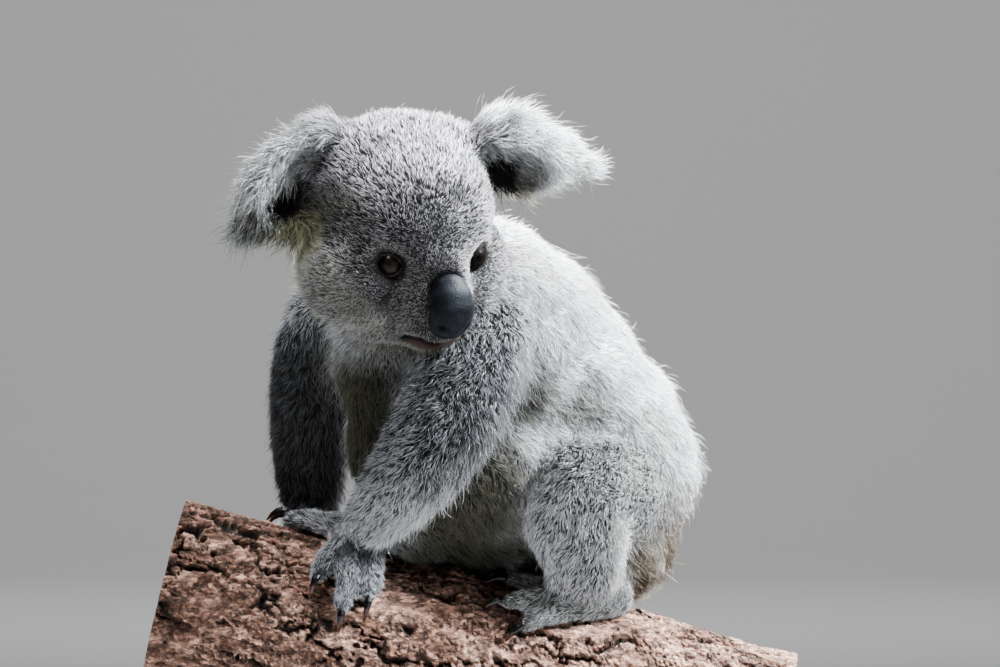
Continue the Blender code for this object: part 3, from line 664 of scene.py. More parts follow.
def mark_body(tones, points, normals, soft):
    """Cream front, darkened as painted shade; arms, the right one with painted shade; hind legs; and low
    rump, darkened as painted shade; gives the cream's share.
    """
    x, z = points[:, 0], points[:, 2]
    trunk, arm, leg = part_of(soft, *TRUNK), part_of(soft, "arm"), part_of(soft, "leg")
    facing = -0.55 * normals[:, 0] - 0.75 * normals[:, 1] - 0.35 * normals[:, 2]
    # the cream front, its tones darkened as painted shade
    cream = smoothstep(0.15, 0.75, facing) * smoothstep(0.335, 0.300, z) * trunk
    tones.mark(cream, "cream")
    tones.mark(0.75 * arm_edge(normals) * arm, "arm_edge")
    tones.mark(0.75 * smoothstep(0.315, 0.295, z) * smoothstep(0.235, 0.255, z) * arm, "arm_middle")
    tones.mark(0.7 * smoothstep(0.262, 0.215, z) * arm * smoothstep(-0.075, -0.055, x), "wrist")
    tones.mark(0.92 * smoothstep(-0.050, -0.075, x) * smoothstep(0.335, 0.31, z) * arm, "arm_shaded")
    tones.mark(0.9 * smoothstep(0.30, 0.85, normals @ unit(np.array((0.90, 0.25, 0.15)))) * leg, "leg_rear")
    # the low rump by the branch: brownish, and darkened as painted shade
    tones.mark(smoothstep(0.255, 0.212, z) * smoothstep(0.050, 0.080, x) * trunk, "low_rump")
    return cream


def mark_ears(tones, points, normals, weights):
    """Painted shade over the hollow by the head and on the right ear's lower side, pale long fringe beyond,
    and cream at the right ear's base.
    """
    for side in SIDES:
        ear, near = ear_local(points, side), on_ear(points, weights, side)
        # painted shade: the patch before the hollow, and a little more over the hollow itself
        middle, radii, slope = EAR_SHADE_PATCH[side]
        flat = (points / MM - np.array(middle))[:, [0, 2]]
        tilted = np.stack((flat[:, 0] * math.cos(slope) + flat[:, 1] * math.sin(slope),
                           flat[:, 1] * math.cos(slope) - flat[:, 0] * math.sin(slope)), axis=1)
        zone = np.linalg.norm(tilted / np.array(radii), axis=1)
        hollow = smoothstep(1.15, 0.85, zone) * smoothstep(0.25, -0.15, normals[:, 1]) * near
        hollow = np.maximum(hollow, 0.2 * smoothstep(1.12, 1.0, ear_hollow(points, side)) * near)
        front = smoothstep(-1.0, 5.0, ear[:, 0]) * near
        tones.mark(smoothstep(4.0, 24.0, ear[:, 1]) * near * front, "ear_fringe")
        lower = smoothstep(4.0, 16.0, ear[:, 2] * (1.0 if side == "right" else -1.0)) * front
        tones.mark(0.7 * lower * smoothstep(14.0, -4.0, ear[:, 1]), "ear_cream")
        if side == "right":
            # painted shade on the lower side of the right ear
            tones.mark(0.85 * smoothstep(392.0, 378.0, points[:, 2] / MM) * near, "ear_under")
        tones.mark(hollow, "ear_hollow")
    base = np.linalg.norm((points / MM - np.array((-83.0, 0.0, 368.0)))[:, [0, 2]] / 15.0, axis=1)
    base = smoothstep(1.1, 0.6, base) * smoothstep(0.2, -0.2, normals[:, 1])
    tones.mark(0.85 * base * np.clip(weights[:, 0] + weights[:, 1], 0, 1), "ear_base")


def mark_face(tones, points, head, local):
    """Brows, lids, bare lips with painted shade by the mouth line, at its corner and under the nose, chin,
    painted shade along the mouth line, and the edge of the nose.
    """
    eye = eye_distance(points)
    brow = smoothstep(8.6, 10.2, eye) * smoothstep(14.5, 12.0, eye) * head
    tones.mark(0.55 * brow * smoothstep(-1.0, 5.0, local[:, 2] - EYE_HEIGHT), "brow")
    tones.mark(smoothstep(9.5, 7.0, eye) * head, "by_lid")
    over, lips, lip = under_mouth(local)
    forward, lips = local[:, 0], lips * head
    corner = smoothstep(36.0, 29.0, forward)[:, None]
    inner = smoothstep(-0.15, -0.75, over / lip)[:, None]
    # the lip darker by the mouth line as a painted shadow under the upper lip, with painted shade at the
    # corner and under the nose
    flesh = (LIP_UNDER_SHADOW * (1 - inner) + LIP_INNER * inner) * (1 - corner) + LIP_SHADE_AT_CORNER * corner
    flesh = flesh + (LIP_SHADE_UNDER_NOSE - flesh) * 0.85 * smoothstep(40.0, 48.0, forward)[:, None]
    bare = lips * smoothstep(-1.12 * lip, -0.85 * lip, over) * smoothstep(1.4, 0.6, over)
    tones.blend(bare, flesh, flesh, flesh, 0.0)
    tones.mark(0.8 * lips * smoothstep(-0.9, -1.15, over / lip) * smoothstep(-2.3, -1.6, over / lip), "chin")
    pink = lips * smoothstep(0.6, 2.0, over) * smoothstep(7.5, 4.0, over) * smoothstep(44.0, 38.0, forward)
    tones.mark(0.5 * pink, "pink")
    # painted shade along the mouth's parting
    tones.mark(lips * bell(over, -0.7, 1.3), "shade_in_mouth_parting")
    if head.max() > 0:
        rim = smoothstep(3.2, 1.0, gap_to(NOSE_TREE, points)) * head
        tones.mark(rim * smoothstep(-14.0, -4.0, local[:, 2]), "nose_rim")


def coat_tones_and_painted_light(points, normals, weights, soft):
    """Tip, root and dark tones and the dark share, for each point, painted light and shade included. Skin and
    coat both use them.
    """
    tones, head, local = Tones(soft), weights[:, 0], head_local(points)
    mark_head(tones, points, normals, head, local)
    cream = mark_body(tones, points, normals, soft)
    mark_ears(tones, points, normals, weights)
    mark_face(tones, points, head, local)
    pale = part_of(soft, *TRUNK) * (1.0 - cream)
    tones.mark(0.5 * pale * smoothstep(0.45, 0.95, 0.5 + 0.5 * wobble(points, 34.0, 5)), "mottle")
    return tones


# ---------------------------------------------------------------- materials


class Shader:
    """A new material, and short ways to build its nodes."""

    def __init__(self, name, settings):
        self.material = bpy.data.materials.new(name)
        self.material.use_nodes = True
        self.tree = self.material.node_tree
        self.main = self.tree.nodes["Principled BSDF"]
        for key, value in settings.items():
            self.feed(self.main, key, value)

    def feed(self, node, key, value):
        """Links an output to the node's socket, or sets the socket to a value."""
        if isinstance(value, bpy.types.NodeSocket):
            self.tree.links.new(value, node.inputs[key])
        else:
            node.inputs[key].default_value = value

    def node(self, kind, sockets=None, **settings):
        """A new node with its settings and sockets set."""
        made = self.tree.nodes.new(f"ShaderNode{kind}")
        for key, value in settings.items():
            setattr(made, key, value)
        for key, value in (sockets or {}).items():
            self.feed(made, key, value)
        return made

    def place(self, stretch=None, turn=(0.0, 0.0, 0.0)):
        """The object's own coordinates, stretched where asked."""
        place = self.node("TexCoord").outputs["Object"]
        if stretch is None:
            return place
        return self.node("Mapping", {"Vector": place, "Scale": stretch, "Rotation": turn}).outputs["Vector"]

    def noise(self, place, scale, detail=2.0, **more):
        """The outputs of a noise texture; with no place it uses its default one."""
        made = self.node("TexNoise", {"Scale": scale, "Detail": detail, **more})
        if place is not None:
            self.feed(made, "Vector", place)
        return made.outputs

    def maths(self, operation, *values):
        return self.node("Math", dict(enumerate(values)), operation=operation).outputs[0]

    def length(self, a, b):
        squares = self.maths("MULTIPLY", a, a), self.maths("MULTIPLY", b, b)
        return self.maths("SQRT", self.maths("ADD", *squares))

    def ranged(self, value, low, high, start=0.0, end=1.0):
        """The value carried from start and end to low and high."""
        sockets = {"Value": value, "From Min": start, "From Max": end, "To Min": low, "To Max": high}
        return self.node("MapRange", sockets).outputs["Result"]

    def ramp(self, factor, stops):
        made = self.node("ValToRGB", {"Fac": factor})
        elements = made.color_ramp.elements
        while len(elements) < len(stops):
            elements.new(0.5)
        for element, (place, colour) in zip(elements, stops):
            element.position = place
            element.color = (*colour, 1.0)
        return made.outputs["Color"]

    def coloured(self, colour):
        self.feed(self.main, "Base Color", colour)

    def painted(self, layer, level):
        """Colours the surface with a painted layer, scaled by the level."""
        colour = self.node("VertexColor", layer_name=layer).outputs["Color"]
        scaled = self.node("VectorMath", {0: colour, "Scale": level}, operation="SCALE")
        self.coloured(scaled.outputs["Vector"])

    def bumped(self, height, strength, distance):
        made = self.node("Bump", {"Height": height, "Strength": strength, "Distance": distance})
        self.feed(self.main, "Normal", made.outputs["Normal"])


def coat_shader(name, roughness, sheen):
    """The painted tones, a little uneven."""
    made = Shader(name, {"Roughness": roughness, "Specular IOR Level": 0.12, "Sheen Weight": sheen,
                         "Sheen Roughness": 0.5})
    made.painted("coat", made.ranged(made.noise(made.place(), 900.0)["Fac"], 0.78, 1.18))
    return made


FUR = coat_shader("fur", 0.62, 0.04).material


def skin_material():
    """The coat's tones on the skin, with a fine grain."""
    made = coat_shader("skin", 0.8, 0.0)
    made.bumped(made.noise(None, 1400.0, 3.0)["Fac"], 0.6, 0.0006)
    return made.material


# ---------------------------------------------------------------- tufts

ROOT_DEPTH = 0.0006  # how far a tuft's root ring lies in the skin
PATCH = 0.003  # a tuft's patch on the unwrap


def tuft_arrays(root, normal, along, length, width, lift, curl, mids):
    """Points of thin closed tapering tufts. Each has a root ring, mids more rings and a tip."""
    side = unit(np.cross(normal, along))
    spots, up_of = [root - normal * ROOT_DEPTH], [normal]
    spot = spots[0]
    for k in range(mids + 1):
        angle = lift * (1.0 - 0.62 * k / max(mids, 1)) if mids else lift * 0.8
        way = along * np.cos(angle)[:, None] + normal * np.sin(angle)[:, None]
        way = unit(way + side * (curl * (k + 0.5))[:, None])
        spot = spot + way * (length / (mids + 1))[:, None]
        spots.append(spot)
        up_of.append(unit(normal - way * np.sum(normal * way, axis=1, keepdims=True)))
    rings = []
    for k in range(mids + 1):
        t = k / (mids + 1)
        half = (width * (0.5 - 0.12 * (1 - t) if mids and k == 0 else 0.5 * (1 - 0.45 * t)))[:, None]
        up = up_of[min(k + 1, mids + 1)]
        rings += [spots[k] + side * half, spots[k] - side * half, spots[k] + up * half * 1.1]
    points = np.stack([*rings, spots[-1]], axis=1)
    faces = [(0, 1, 2)]
    for k in range(mids):
        low, high = 3 * k, 3 * k + 3
        for a, b in ((0, 2), (2, 1), (1, 0)):
            faces += [(low + a, low + b, high + b), (low + a, high + b, high + a)]
    last, tip = 3 * mids, 3 * mids + 3
    faces += [(last, last + 2, tip), (last + 2, last + 1, tip), (last + 1, last, tip)]
    return points, np.array(faces)


def unwrap_places(points, normals):
    """Where each root lies on an unwrap of the skin: six charts by the way that the skin faces."""
    axis = np.argmax(np.abs(normals), axis=1)
    sign = normals[np.arange(len(normals)), axis] > 0
    chart = axis * 2 + sign
    places = np.zeros((len(points), 2))
    for c in range(6):
        here = chart == c
        if not here.any():
            continue
        flat = np.delete(points[here], c // 2, axis=1)
        low, span = flat.min(0), max(np.ptp(flat, axis=0).max(), 1e-4)
        cell = np.array(((c % 3) / 3.0, (c // 3) / 2.0))
        places[here] = cell + 0.008 + (flat - low) / span * (1.0 / 3.0 - 0.02)
    return places


# A tuft's painted shade on its two edges and painted highlight along its ridge
TUFT_EDGE_PAINTED_SHADE, TUFT_RIDGE_PAINTED_HIGHLIGHT = 0.70, 1.12


def coat_piece(name, layers):
    """Joins layers of tufts, as (tufts, mids), in one object."""
    all_points, all_triangles, all_colours, all_places, start = [], [], [], [], 0
    for tufts, mids in layers:
        points, faces = tuft_arrays(*tufts["shape"], mids)
        count, each = points.shape[:2]
        triangles = (faces[None] + (np.arange(count) * each)[:, None, None]).reshape(-1, 3)
        stations = np.concatenate([np.repeat(np.arange(mids + 1) / (mids + 1), 3), [1.0]])
        # painted shade on each tuft's edges and painted highlight on its ridge
        shades = np.tile((TUFT_EDGE_PAINTED_SHADE, TUFT_EDGE_PAINTED_SHADE, TUFT_RIDGE_PAINTED_HIGHLIGHT), mids + 1)
        ridge = np.concatenate([shades, [1.0]])[None, :, None]
        root, tip = tufts["root"][:, None], tufts["tip"][:, None]
        across = np.concatenate([np.tile((0.0, 1.0, 0.5), mids + 1), [0.5]])
        patch = PATCH * (np.stack((across, stations), 1)[None] - 0.5)
        all_points.append(points.reshape(-1, 3))
        all_triangles.append(triangles + start)
        all_colours.append(((root + (tip - root) * stations[None, :, None] ** 0.8) * ridge).reshape(-1, 3))
        all_places.append((tufts["place"][:, None] + patch).reshape(-1, 2))
        start += count * each
    triangles = np.concatenate(all_triangles)
    mesh = mesh_of(name, np.concatenate(all_points), triangles)
    paint(mesh, "coat", np.concatenate(all_colours))
    layer = mesh.uv_layers.new(name="OFBake")
    layer.data.foreach_set("uv", np.concatenate(all_places)[triangles.ravel()].astype(np.float32).ravel())
    dress(mesh, FUR)
    shown(placed(name, mesh), "fur_grey")


SKIN.data.calc_loop_triangles()
SKIN_TRIANGLES = read_array(SKIN.data.loop_triangles, "vertices", 3, np.int32)
CORNERS = SKIN_POINTS[SKIN_TRIANGLES]
EDGES = CORNERS[:, 1:] - CORNERS[:, :1]
AREAS = np.linalg.norm(np.cross(EDGES[:, 0], EDGES[:, 1]), axis=1) / 2 / MM**2  # in square mm
RIM_LENGTH = {"left": 0.55, "right": 1.1}  # how much longer the hair is on each ear's rim


def sized(points, normals, weights):
    """Tuft length, width, lift and number for each square mm over the skin."""
    length, width = field(weights, "length"), field(weights, "width")
    lift, thick = np.radians(field(weights, "lift")), field(weights, "thick")
    local = head_local(points)
    head = weights[:, 0]
    front = smoothstep(2.0, 46.0, local[:, 0] - 0.35 * local[:, 2]) * head
    length, width = length * (1 - 0.55 * front), width * (1 - 0.22 * front) * (1 - 0.2 * front)
    lift, thick = lift + np.radians(16.0) * front, thick * (1 + 1.4 * front)
    eye = smoothstep(16.0, 8.0, eye_distance(points)) * head
    length, width = length * (1 - 0.45 * eye), width * (1 - 0.25 * eye)
    lift, thick = lift * (1 - 0.3 * eye), thick * (1 + 0.4 * eye)
    ruff = smoothstep(12.0, -6.0, local[:, 0]) * smoothstep(6.0, -16.0, local[:, 2]) * head
    length = length * (1 + 0.8 * ruff) * (1 + 0.75 * arm_edge(normals) * part_of(weights, "arm"))
    tips = smoothstep(13.0, 2.0, gap_to(tree_of(CLAWS)[0], points)) * part_of(weights, "hand", "foot")
    length, lift = length * (1 - 0.5 * tips), lift * (1 - 0.3 * tips)
    for side in SIDES:
        rim = ear_rim(points, side) * weights[:, 1]
        length, lift = length * (1 + RIM_LENGTH[side] * rim), lift + np.radians(24.0) * rim
        hollow = smoothstep(1.15, 1.0, ear_hollow(points, side)) * on_ear(points, weights, side)
        length, lift = length * (1 - 0.5 * hollow), lift * (1 - 0.3 * hollow)
    return length, width, lift, thick


def digit_gap_shade():
    """How deep each skin point lies in a gap between digits, from 0 to 1: how much painted shade darkens the
    coat and skin there.
    """
    sunk = np.sum((SPREAD(SKIN_POINTS, 12) - SKIN_POINTS) * SKIN_NORMALS, axis=1) / MM
    return smoothstep(0.05, 0.55, sunk) * part_of(TONE_WEIGHTS, "hand", "foot")


SIZES = np.stack(sized(SKIN_POINTS, SKIN_NORMALS, WEIGHTS), axis=1)
DIGIT_GAP_SHADE = digit_gap_shade()[:, None]


def scatter(mask, scale, rng):
    """Even random roots on the skin triangles of the mask, with their interpolated fields."""
    chosen = np.flatnonzero(mask)
    thick = SIZES[SKIN_TRIANGLES[chosen], 3].mean(axis=1) * scale
    share = np.cumsum(AREAS[chosen] * thick)
    count = int(share[-1])
    draws = (np.arange(count) + rng.uniform(0, 1, count)) / count * share[-1]
    picked = chosen[np.minimum(np.searchsorted(share, draws), len(chosen) - 1)]
    a, b = rng.uniform(0, 1, count), rng.uniform(0, 1, count)
    flip = a + b > 1
    a[flip], b[flip] = 1 - a[flip], 1 - b[flip]
    parts = np.stack((1 - a - b, a, b), axis=1)
    corners = SKIN_TRIANGLES[picked]

    def mixed(values):
        return np.einsum("ij,ijk->ik", parts, values[corners])

    roots = mixed(SKIN_POINTS)
    # none in the bark, the eyes, the nose or the bare lips
    keep = (branch_gap(roots) > 0.6) & (eye_distance(roots) > 7.1) & (gap_to(NOSE_TREE, roots) > 0.5)
    over, lips, lip = under_mouth(head_local(roots))
    near_head = mixed(WEIGHTS)[:, 0] > 0.5
    keep &= ~(near_head & (lips > 0.35) & (over > -0.92 * lip) & (over < 0.7))
    fields = (roots, unit(mixed(SKIN_NORMALS)), unit(mixed(LIE)), mixed(SIZES), mixed(WEIGHTS),
              mixed(TONE_WEIGHTS), mixed(DIGIT_GAP_SHADE))
    return [values[keep] for values in fields]


def in_locks(roots, normal, along, length, clump, rng):
    """The tufts' directions, each drawn towards the tip of a nearby seed tuft."""
    count = len(roots)
    seeds = rng.choice(count, max(count // clump, 2), replace=False)
    tree = KDTree(len(seeds))
    for k, s in enumerate(seeds):
        tree.insert(roots[s], k)
    tree.balance()
    nearest = seeds[np.array([tree.find(r)[1] for r in roots])]
    pull = roots[nearest] + along[nearest] * length[nearest][:, None] - roots
    pull -= normal * np.sum(pull * normal, axis=1, keepdims=True)
    return unit(along + 0.55 * unit(pull))


def dressed(mask, scale, rng, clump=0, longer=1.0, finer=1.0, raised=0.0):
    """Tufts on the mask: their shape, tip and root tones and place on the unwrap."""
    roots, normal, along, sizes, weights, soft, gaps = scatter(mask, scale, rng)
    count = len(roots)
    length, width, lift = sizes[:, 0] * MM, sizes[:, 1] * MM, sizes[:, 2]
    length = length * rng.uniform(0.62, 1.25, count)
    width = width * rng.uniform(0.7, 1.25, count)
    lift = lift * rng.uniform(0.45, 1.35, count) + np.radians(5.0) * wobble(roots, 9.0, 11)
    turn = np.radians(20.0) * wobble(roots, 16.0, 12) + np.radians(18.0) * wobble(roots, 6.0, 13)
    turn = turn + np.radians(16.0) * rng.normal(size=count)
    side = unit(np.cross(normal, along))
    along = unit(along * np.cos(turn)[:, None] + side * np.sin(turn)[:, None])
    if clump:
        along = in_locks(roots, normal, along, length, clump, rng)
    lift, length, width = lift + np.radians(raised), length * longer, width * finer
    tones = coat_tones_and_painted_light(roots, normal, weights, soft)
    grain = 0.5 + 0.42 * np.where(weights[:, 0] > 0.5, wobble(roots, 2.6, 77, 10), wobble(roots, 4.4, 78, 10))
    is_dark = 0.68 * rng.uniform(0, 1, count) + 0.32 * grain < tones.share
    # random tone for each tuft; tips and roots darker between the digits as painted shade
    level = rng.uniform(0.80, 1.12, count)[:, None] * (1.0 - 0.8 * gaps)
    tip = np.where(is_dark[:, None], tones.dark, tones.tip) * level
    curl = 0.22 * rng.normal(size=count)
    root = tones.root * rng.uniform(0.75, 1.1, count)[:, None] * (1.0 - 0.8 * gaps)
    return dict(shape=(roots, normal, along, length, width, np.clip(lift, 0.06, 1.4), curl),
                tip=np.clip(tip, 0, 0.92), root=root, place=unwrap_places(roots, normal))


# Coat pieces: nodes, share of straight tufts' number, share of bent ones and clump size
COATS = {
    "coat_face": (("head",), 0.85, 0.10, 6),
    "coat_crown": (("head",), 0.85, 0.14, 6),
    "coat_ear_left": (("ear_left",), 0.8, 0.35, 7),
    "coat_ear_right": (("ear_right",), 0.8, 0.35, 7),
    "coat_neck": (("neck",), 0.8, 0.2, 9),
    "coat_chest": (("chest",), 0.8, 0.2, 9),
    "coat_belly": (("belly",), 0.8, 0.2, 9),
    "coat_rump": (("rump",), 0.8, 0.2, 9),
    "coat_arm_left": (("upper_arm_left", "forearm_left"), 1.05, 0.22, 7),
    "coat_arm_right": (("upper_arm_right", "forearm_right"), 0.6, 0.1, 8),
    "coat_leg_left": (("thigh_left", "shin_left"), 1.25, 0.3, 7),
    "coat_leg_right": (("thigh_right", "shin_right"), 0.6, 0.12, 8),
    "coat_hands": (("hand_left", "hand_right"), 0.85, 0.08, 5),
    "coat_feet": (("foot_left", "foot_right"), 0.9, 0.1, 5),
}
NO_STRAYS = ("coat_hands", "coat_feet", "coat_face")
FACE_FROM = 8.0  # mm forward of the head's middle, where the face's piece meets the crown's
FRINGE_LENGTH = {"left": 1.1, "right": 1.6}
FIRST_SEED = 100


def make_coats():
    """All coat pieces: straight and bent tufts, a few long strays, and a fringe along the ears' rims."""
    node_of = SKIN_NODE[SKIN_TRIANGLES[:, 0]]
    forward = head_local(CORNERS.mean(axis=1))[:, 0]
    rim = np.max([ear_rim(SKIN_POINTS, side) for side in SIDES], axis=0)
    on_rim = rim[SKIN_TRIANGLES].mean(axis=1) > 0.35
    for number, (name, (nodes, straight, bent, clump)) in enumerate(COATS.items()):
        rng = np.random.default_rng(FIRST_SEED + number)
        mask = np.isin(node_of, [FLESH.index(n) for n in nodes])
        if nodes == ("head",):
            mask &= (forward > FACE_FROM) == (name == "coat_face")
        layers = [(dressed(mask, straight, rng, clump), 0), (dressed(mask, bent, rng, clump), 1)]
        if name not in NO_STRAYS:
            layers.append((dressed(mask, 0.04, rng, longer=1.45, finer=0.34, raised=24.0), 2))
        if "_ear_" in name:
            longer = FRINGE_LENGTH[name.split("_")[-1]]
            layers.append((dressed(mask & on_rim, 0.6, rng, 6, longer, finer=0.5, raised=2.0), 2))
        coat_piece(name, layers)


def finish_skin():
    """Paints the skin with the root tones of the marks, darker than the coat as painted shade between the
    tufts and darker still as painted shade between the digits, and shows it for all the flesh.
    """
    tones = coat_tones_and_painted_light(SKIN_POINTS, SKIN_NORMALS, WEIGHTS, TONE_WEIGHTS)
    pale = part_of(TONE_WEIGHTS, "ear", *TRUNK)[:, None]
    # painted shade: the skin darker than the roots, less so on the ears and trunk, and darker still between
    # the digits
    base = (1.0 - 0.85 * DIGIT_GAP_SHADE) * tones.root * (0.58 + 0.25 * pale)
    paint(SKIN.data, "coat", base + 0.07 * (tones.tip - tones.root) * (1 - tones.share)[:, None])
    dress(SKIN.data, skin_material())
    shown(SKIN, "fur_grey", *FLESH)


make_coats()
finish_skin()


# ---------------------------------------------------------------- eyes, nose and claws

# The iris from its middle out, and the half sizes of the slit pupil, in eyeball radii
IRIS = ((0.0, (36, 26, 18)), (0.30, (30, 21, 15)), (0.52, (18, 12, 9)), (0.64, (5, 4, 4)), (0.90, (5, 4, 4)))
PUPIL_HALF_WIDTH, PUPIL_HALF_HEIGHT = 0.115, 0.43
PUPIL_COLOUR = (0.002, 0.002, 0.003, 1.0)
# How light and glossy each eye and its lids are: the left ones lie in the photo's shade
EYE_LEVEL = {"left": 0.4, "right": 1.0}
LID_LEVEL = {"left": 0.25, "right": 1.0}


def eye_material(side):
    """A dark brown iris with an upright slit pupil, under a wet clear surface."""
    level = EYE_LEVEL[side]
    made = Shader(f"eye_{side}", {"Roughness": 0.5, "Specular IOR Level": 0.05 * level,
                                  "Coat Weight": 0.2 * level, "Coat IOR": 1.34, "Coat Roughness": 0.03})
    gaze = made.node("Attribute", attribute_name="gaze").outputs["Vector"]
    across, up, _ = made.node("SeparateXYZ", {0: gaze}).outputs
    radius = made.length(across, up)
    angle = made.maths("ARCTAN2", up, across)
    polar = made.node("CombineXYZ", {0: angle, 1: made.maths("MULTIPLY", radius, 0.6)})
    fibres = made.noise(polar.outputs[0], 7.0, 4.0)["Fac"]
    uneven = made.maths("ADD", radius, made.maths("MULTIPLY", made.maths("SUBTRACT", fibres, 0.5), 0.22))
    iris = made.ramp(uneven, toned(IRIS, level))
    squares = [made.maths("POWER", made.maths("DIVIDE", made.maths("ABSOLUTE", way), half), 2.0)
               for way, half in ((across, PUPIL_HALF_WIDTH), (up, PUPIL_HALF_HEIGHT))]
    edge = made.ranged(made.maths("ADD", *squares), 0.0, 1.0, 0.75, 1.15)
    mix = made.node("Mix", {"A": PUPIL_COLOUR, "Factor": edge, "B": iris}, data_type="RGBA")
    made.coloured(mix.outputs["Result"])
    return made.material


def eye_frame(side):
    """Middle, and the axes (forward out of the face, across, up) of an eye."""
    sign = 1.0 if side == "left" else -1.0
    look = (HEAD_TURN @ Vector((EYE_LOOK.x, sign * EYE_LOOK.y, EYE_LOOK.z))).normalized()
    up = HEAD_TURN @ Vector((0.0, 0.0, 1.0))
    up = (up - up.dot(look) * look).normalized()
    return box_middle(f"eye_{side}"), look, up.cross(look), up


# The clear dome at the front of the eyeball: how far it stands out, in radii, and its half angle
DOME_RISE, DOME_ANGLE = 0.05, 0.75


def make_eyeball(side):
    """A ball with its dome, turned to look a little ahead, with its own places stored for the iris."""
    middle, look, _, _ = eye_frame(side)
    gaze = (look + 0.25 * (HEAD_TURN @ Vector((1.0, 0.0, -0.1)))).normalized()
    level = Vector((0.0, 0.0, 1.0))
    up = (level - level.dot(gaze) * gaze).normalized()
    bm = bmesh.new()
    bmesh.ops.create_uvsphere(bm, u_segments=56, v_segments=40, radius=1.0)
    for vert in bm.verts:
        tilt = math.acos(max(-1.0, min(1.0, vert.co.z)))
        vert.co *= 1.0 + DOME_RISE * max(0.0, 1.0 - (tilt / DOME_ANGLE) ** 2)
    eye = object_of(f"eyeball_{side}", bm)
    local = vertex_array(eye.data)
    store_vectors(eye.data, "gaze", local)
    put_points(eye.data, np.array(middle) + local @ np.array((up.cross(gaze), up, gaze)) * EYE_RADIUS * MM)
    dress(eye.data, eye_material(side))
    shown(eye, "eye_brown", f"eye_{side}")


# A lid's section from its edge on the eyeball, over its rim and down under the coat:
# (distance from the look axis, height along it) in mm
LID_SECTION = [(5.30, 4.60), (5.35, 4.90), (5.50, 5.02), (5.75, 4.92), (6.10, 4.55), (6.5, 3.95), (6.9, 3.2),
               (7.2, 2.2), (7.0, 0.8), (6.4, 1.2), (5.9, 2.9)]
LID_ON_BALL, LID_RIM, LID_INSIDE = (0, 1), (2, 3, 4), 10  # places in the section
LID_UPPER, LID_LOWER, LID_CORNER = -0.55, -0.15, 1.1  # mm that the upper, lower and inner edges shift out
LID_STEPS = 72


def lid_rows(side):
    """Sections round both lids of an eye, a little pointed at the corner by the nose."""
    middle, look, across, up = eye_frame(side)
    inner = -1.0 if side == "left" else 1.0
    rows = []
    for k in range(LID_STEPS):
        turn = FULL_TURN * k / LID_STEPS
        c, s = math.cos(turn), math.sin(turn)
        corner = max(0.0, c * inner) ** 10
        shift = (LID_UPPER if s > 0 else LID_LOWER) * abs(s) + LID_CORNER * corner - 0.15 * corner * s
        row = []
        for place, (out, rise) in enumerate(LID_SECTION):
            weight = max(0.0, 1.0 - place / 6.0) if place < 7 else (0.6 if place == LID_INSIDE else 0.0)
            out_here = out + shift * weight
            if place in LID_ON_BALL:
                rise = math.sqrt(max(EYE_RADIUS**2 - out_here**2, 9.0)) + (0.02 if place == 0 else 0.42)
            elif place in LID_RIM:
                rise = rise - 0.55 * shift * weight - (0.45 * corner if place == 2 else 0.2 * corner)
            row.append(middle + MM * (across * (c * out_here) + up * (s * out_here) + look * rise))
        rows.append(row)
    return rows


def lid_material(side):
    """Dark bare skin with a fine grain."""
    level = LID_LEVEL[side]
    made = Shader(f"eyelid_{side}", {"Roughness": 0.6, "Specular IOR Level": 0.12 * level})
    noise = made.noise(made.place(), 900.0, 4.0)["Fac"]
    stops = ((0.3, (16, 12, 11)), (0.5, (30, 23, 21)), (0.7, (52, 42, 39)))
    made.coloured(made.ramp(noise, toned(stops, level)))
    made.bumped(noise, 0.5, 0.0004)
    return made.material


def make_lids(side):
    """Both lids of an eye as one closed ring."""
    bm = bmesh.new()
    rows = [[bm.verts.new(p) for p in row] for row in lid_rows(side)]
    for k, row in enumerate(rows):
        ahead = rows[(k + 1) % len(rows)]
        for j in range(len(row)):
            n = (j + 1) % len(row)
            bm.faces.new((row[j], row[n], ahead[n], ahead[j]))
    bmesh.ops.recalc_face_normals(bm, faces=bm.faces)
    lid = object_of(f"eyelids_{side}", bm)
    smooth = lid.modifiers.new("smooth", "SUBSURF")
    smooth.levels = smooth.render_levels = 1
    settle(lid)
    dress(lid.data, lid_material(side))
    shown(lid, "fur_grey")


def nose_material():
    """Black leathery skin with a pebbled grain."""
    made = Shader("nose_leather", {"Roughness": 0.5, "Specular IOR Level": 0.08,
                                   "Specular Tint": (0.72, 0.84, 1.0, 1.0)})
    place = made.place()
    stops = ((0.25, (12, 13, 14)), (0.5, (19, 20, 22)), (0.8, (32, 34, 39)))
    made.coloured(made.ramp(made.noise(place, 220.0, 5.0)["Fac"], toned(stops)))
    grain = made.node("TexVoronoi", {"Vector": place, "Scale": 1500.0}).outputs["Distance"]
    made.bumped(grain, 0.45, 0.0004)
    return made.material


# The masses of the nose pad, in the head's frame in mm: middle and half sizes
NOSE_MASSES = [((47, 0, -3), (6, 8.5, 6)), ((50.5, 0, -7), (7, 10.5, 7)), ((52.5, 0, -12), (7, 11.5, 8)),
               ((52.5, 0, -18), (7, 11.5, 7.5)), ((49.5, 0, -23), (7, 9, 5.5))]
# A nostril's middle in the same frame, its depth, and its half length, half width and half depth forward
NOSTRIL, NOSTRIL_DEPTH, NOSTRIL_RADII = (55.0, 6.6, -20.5), 3.6, (3.4, 1.5, 8.0)


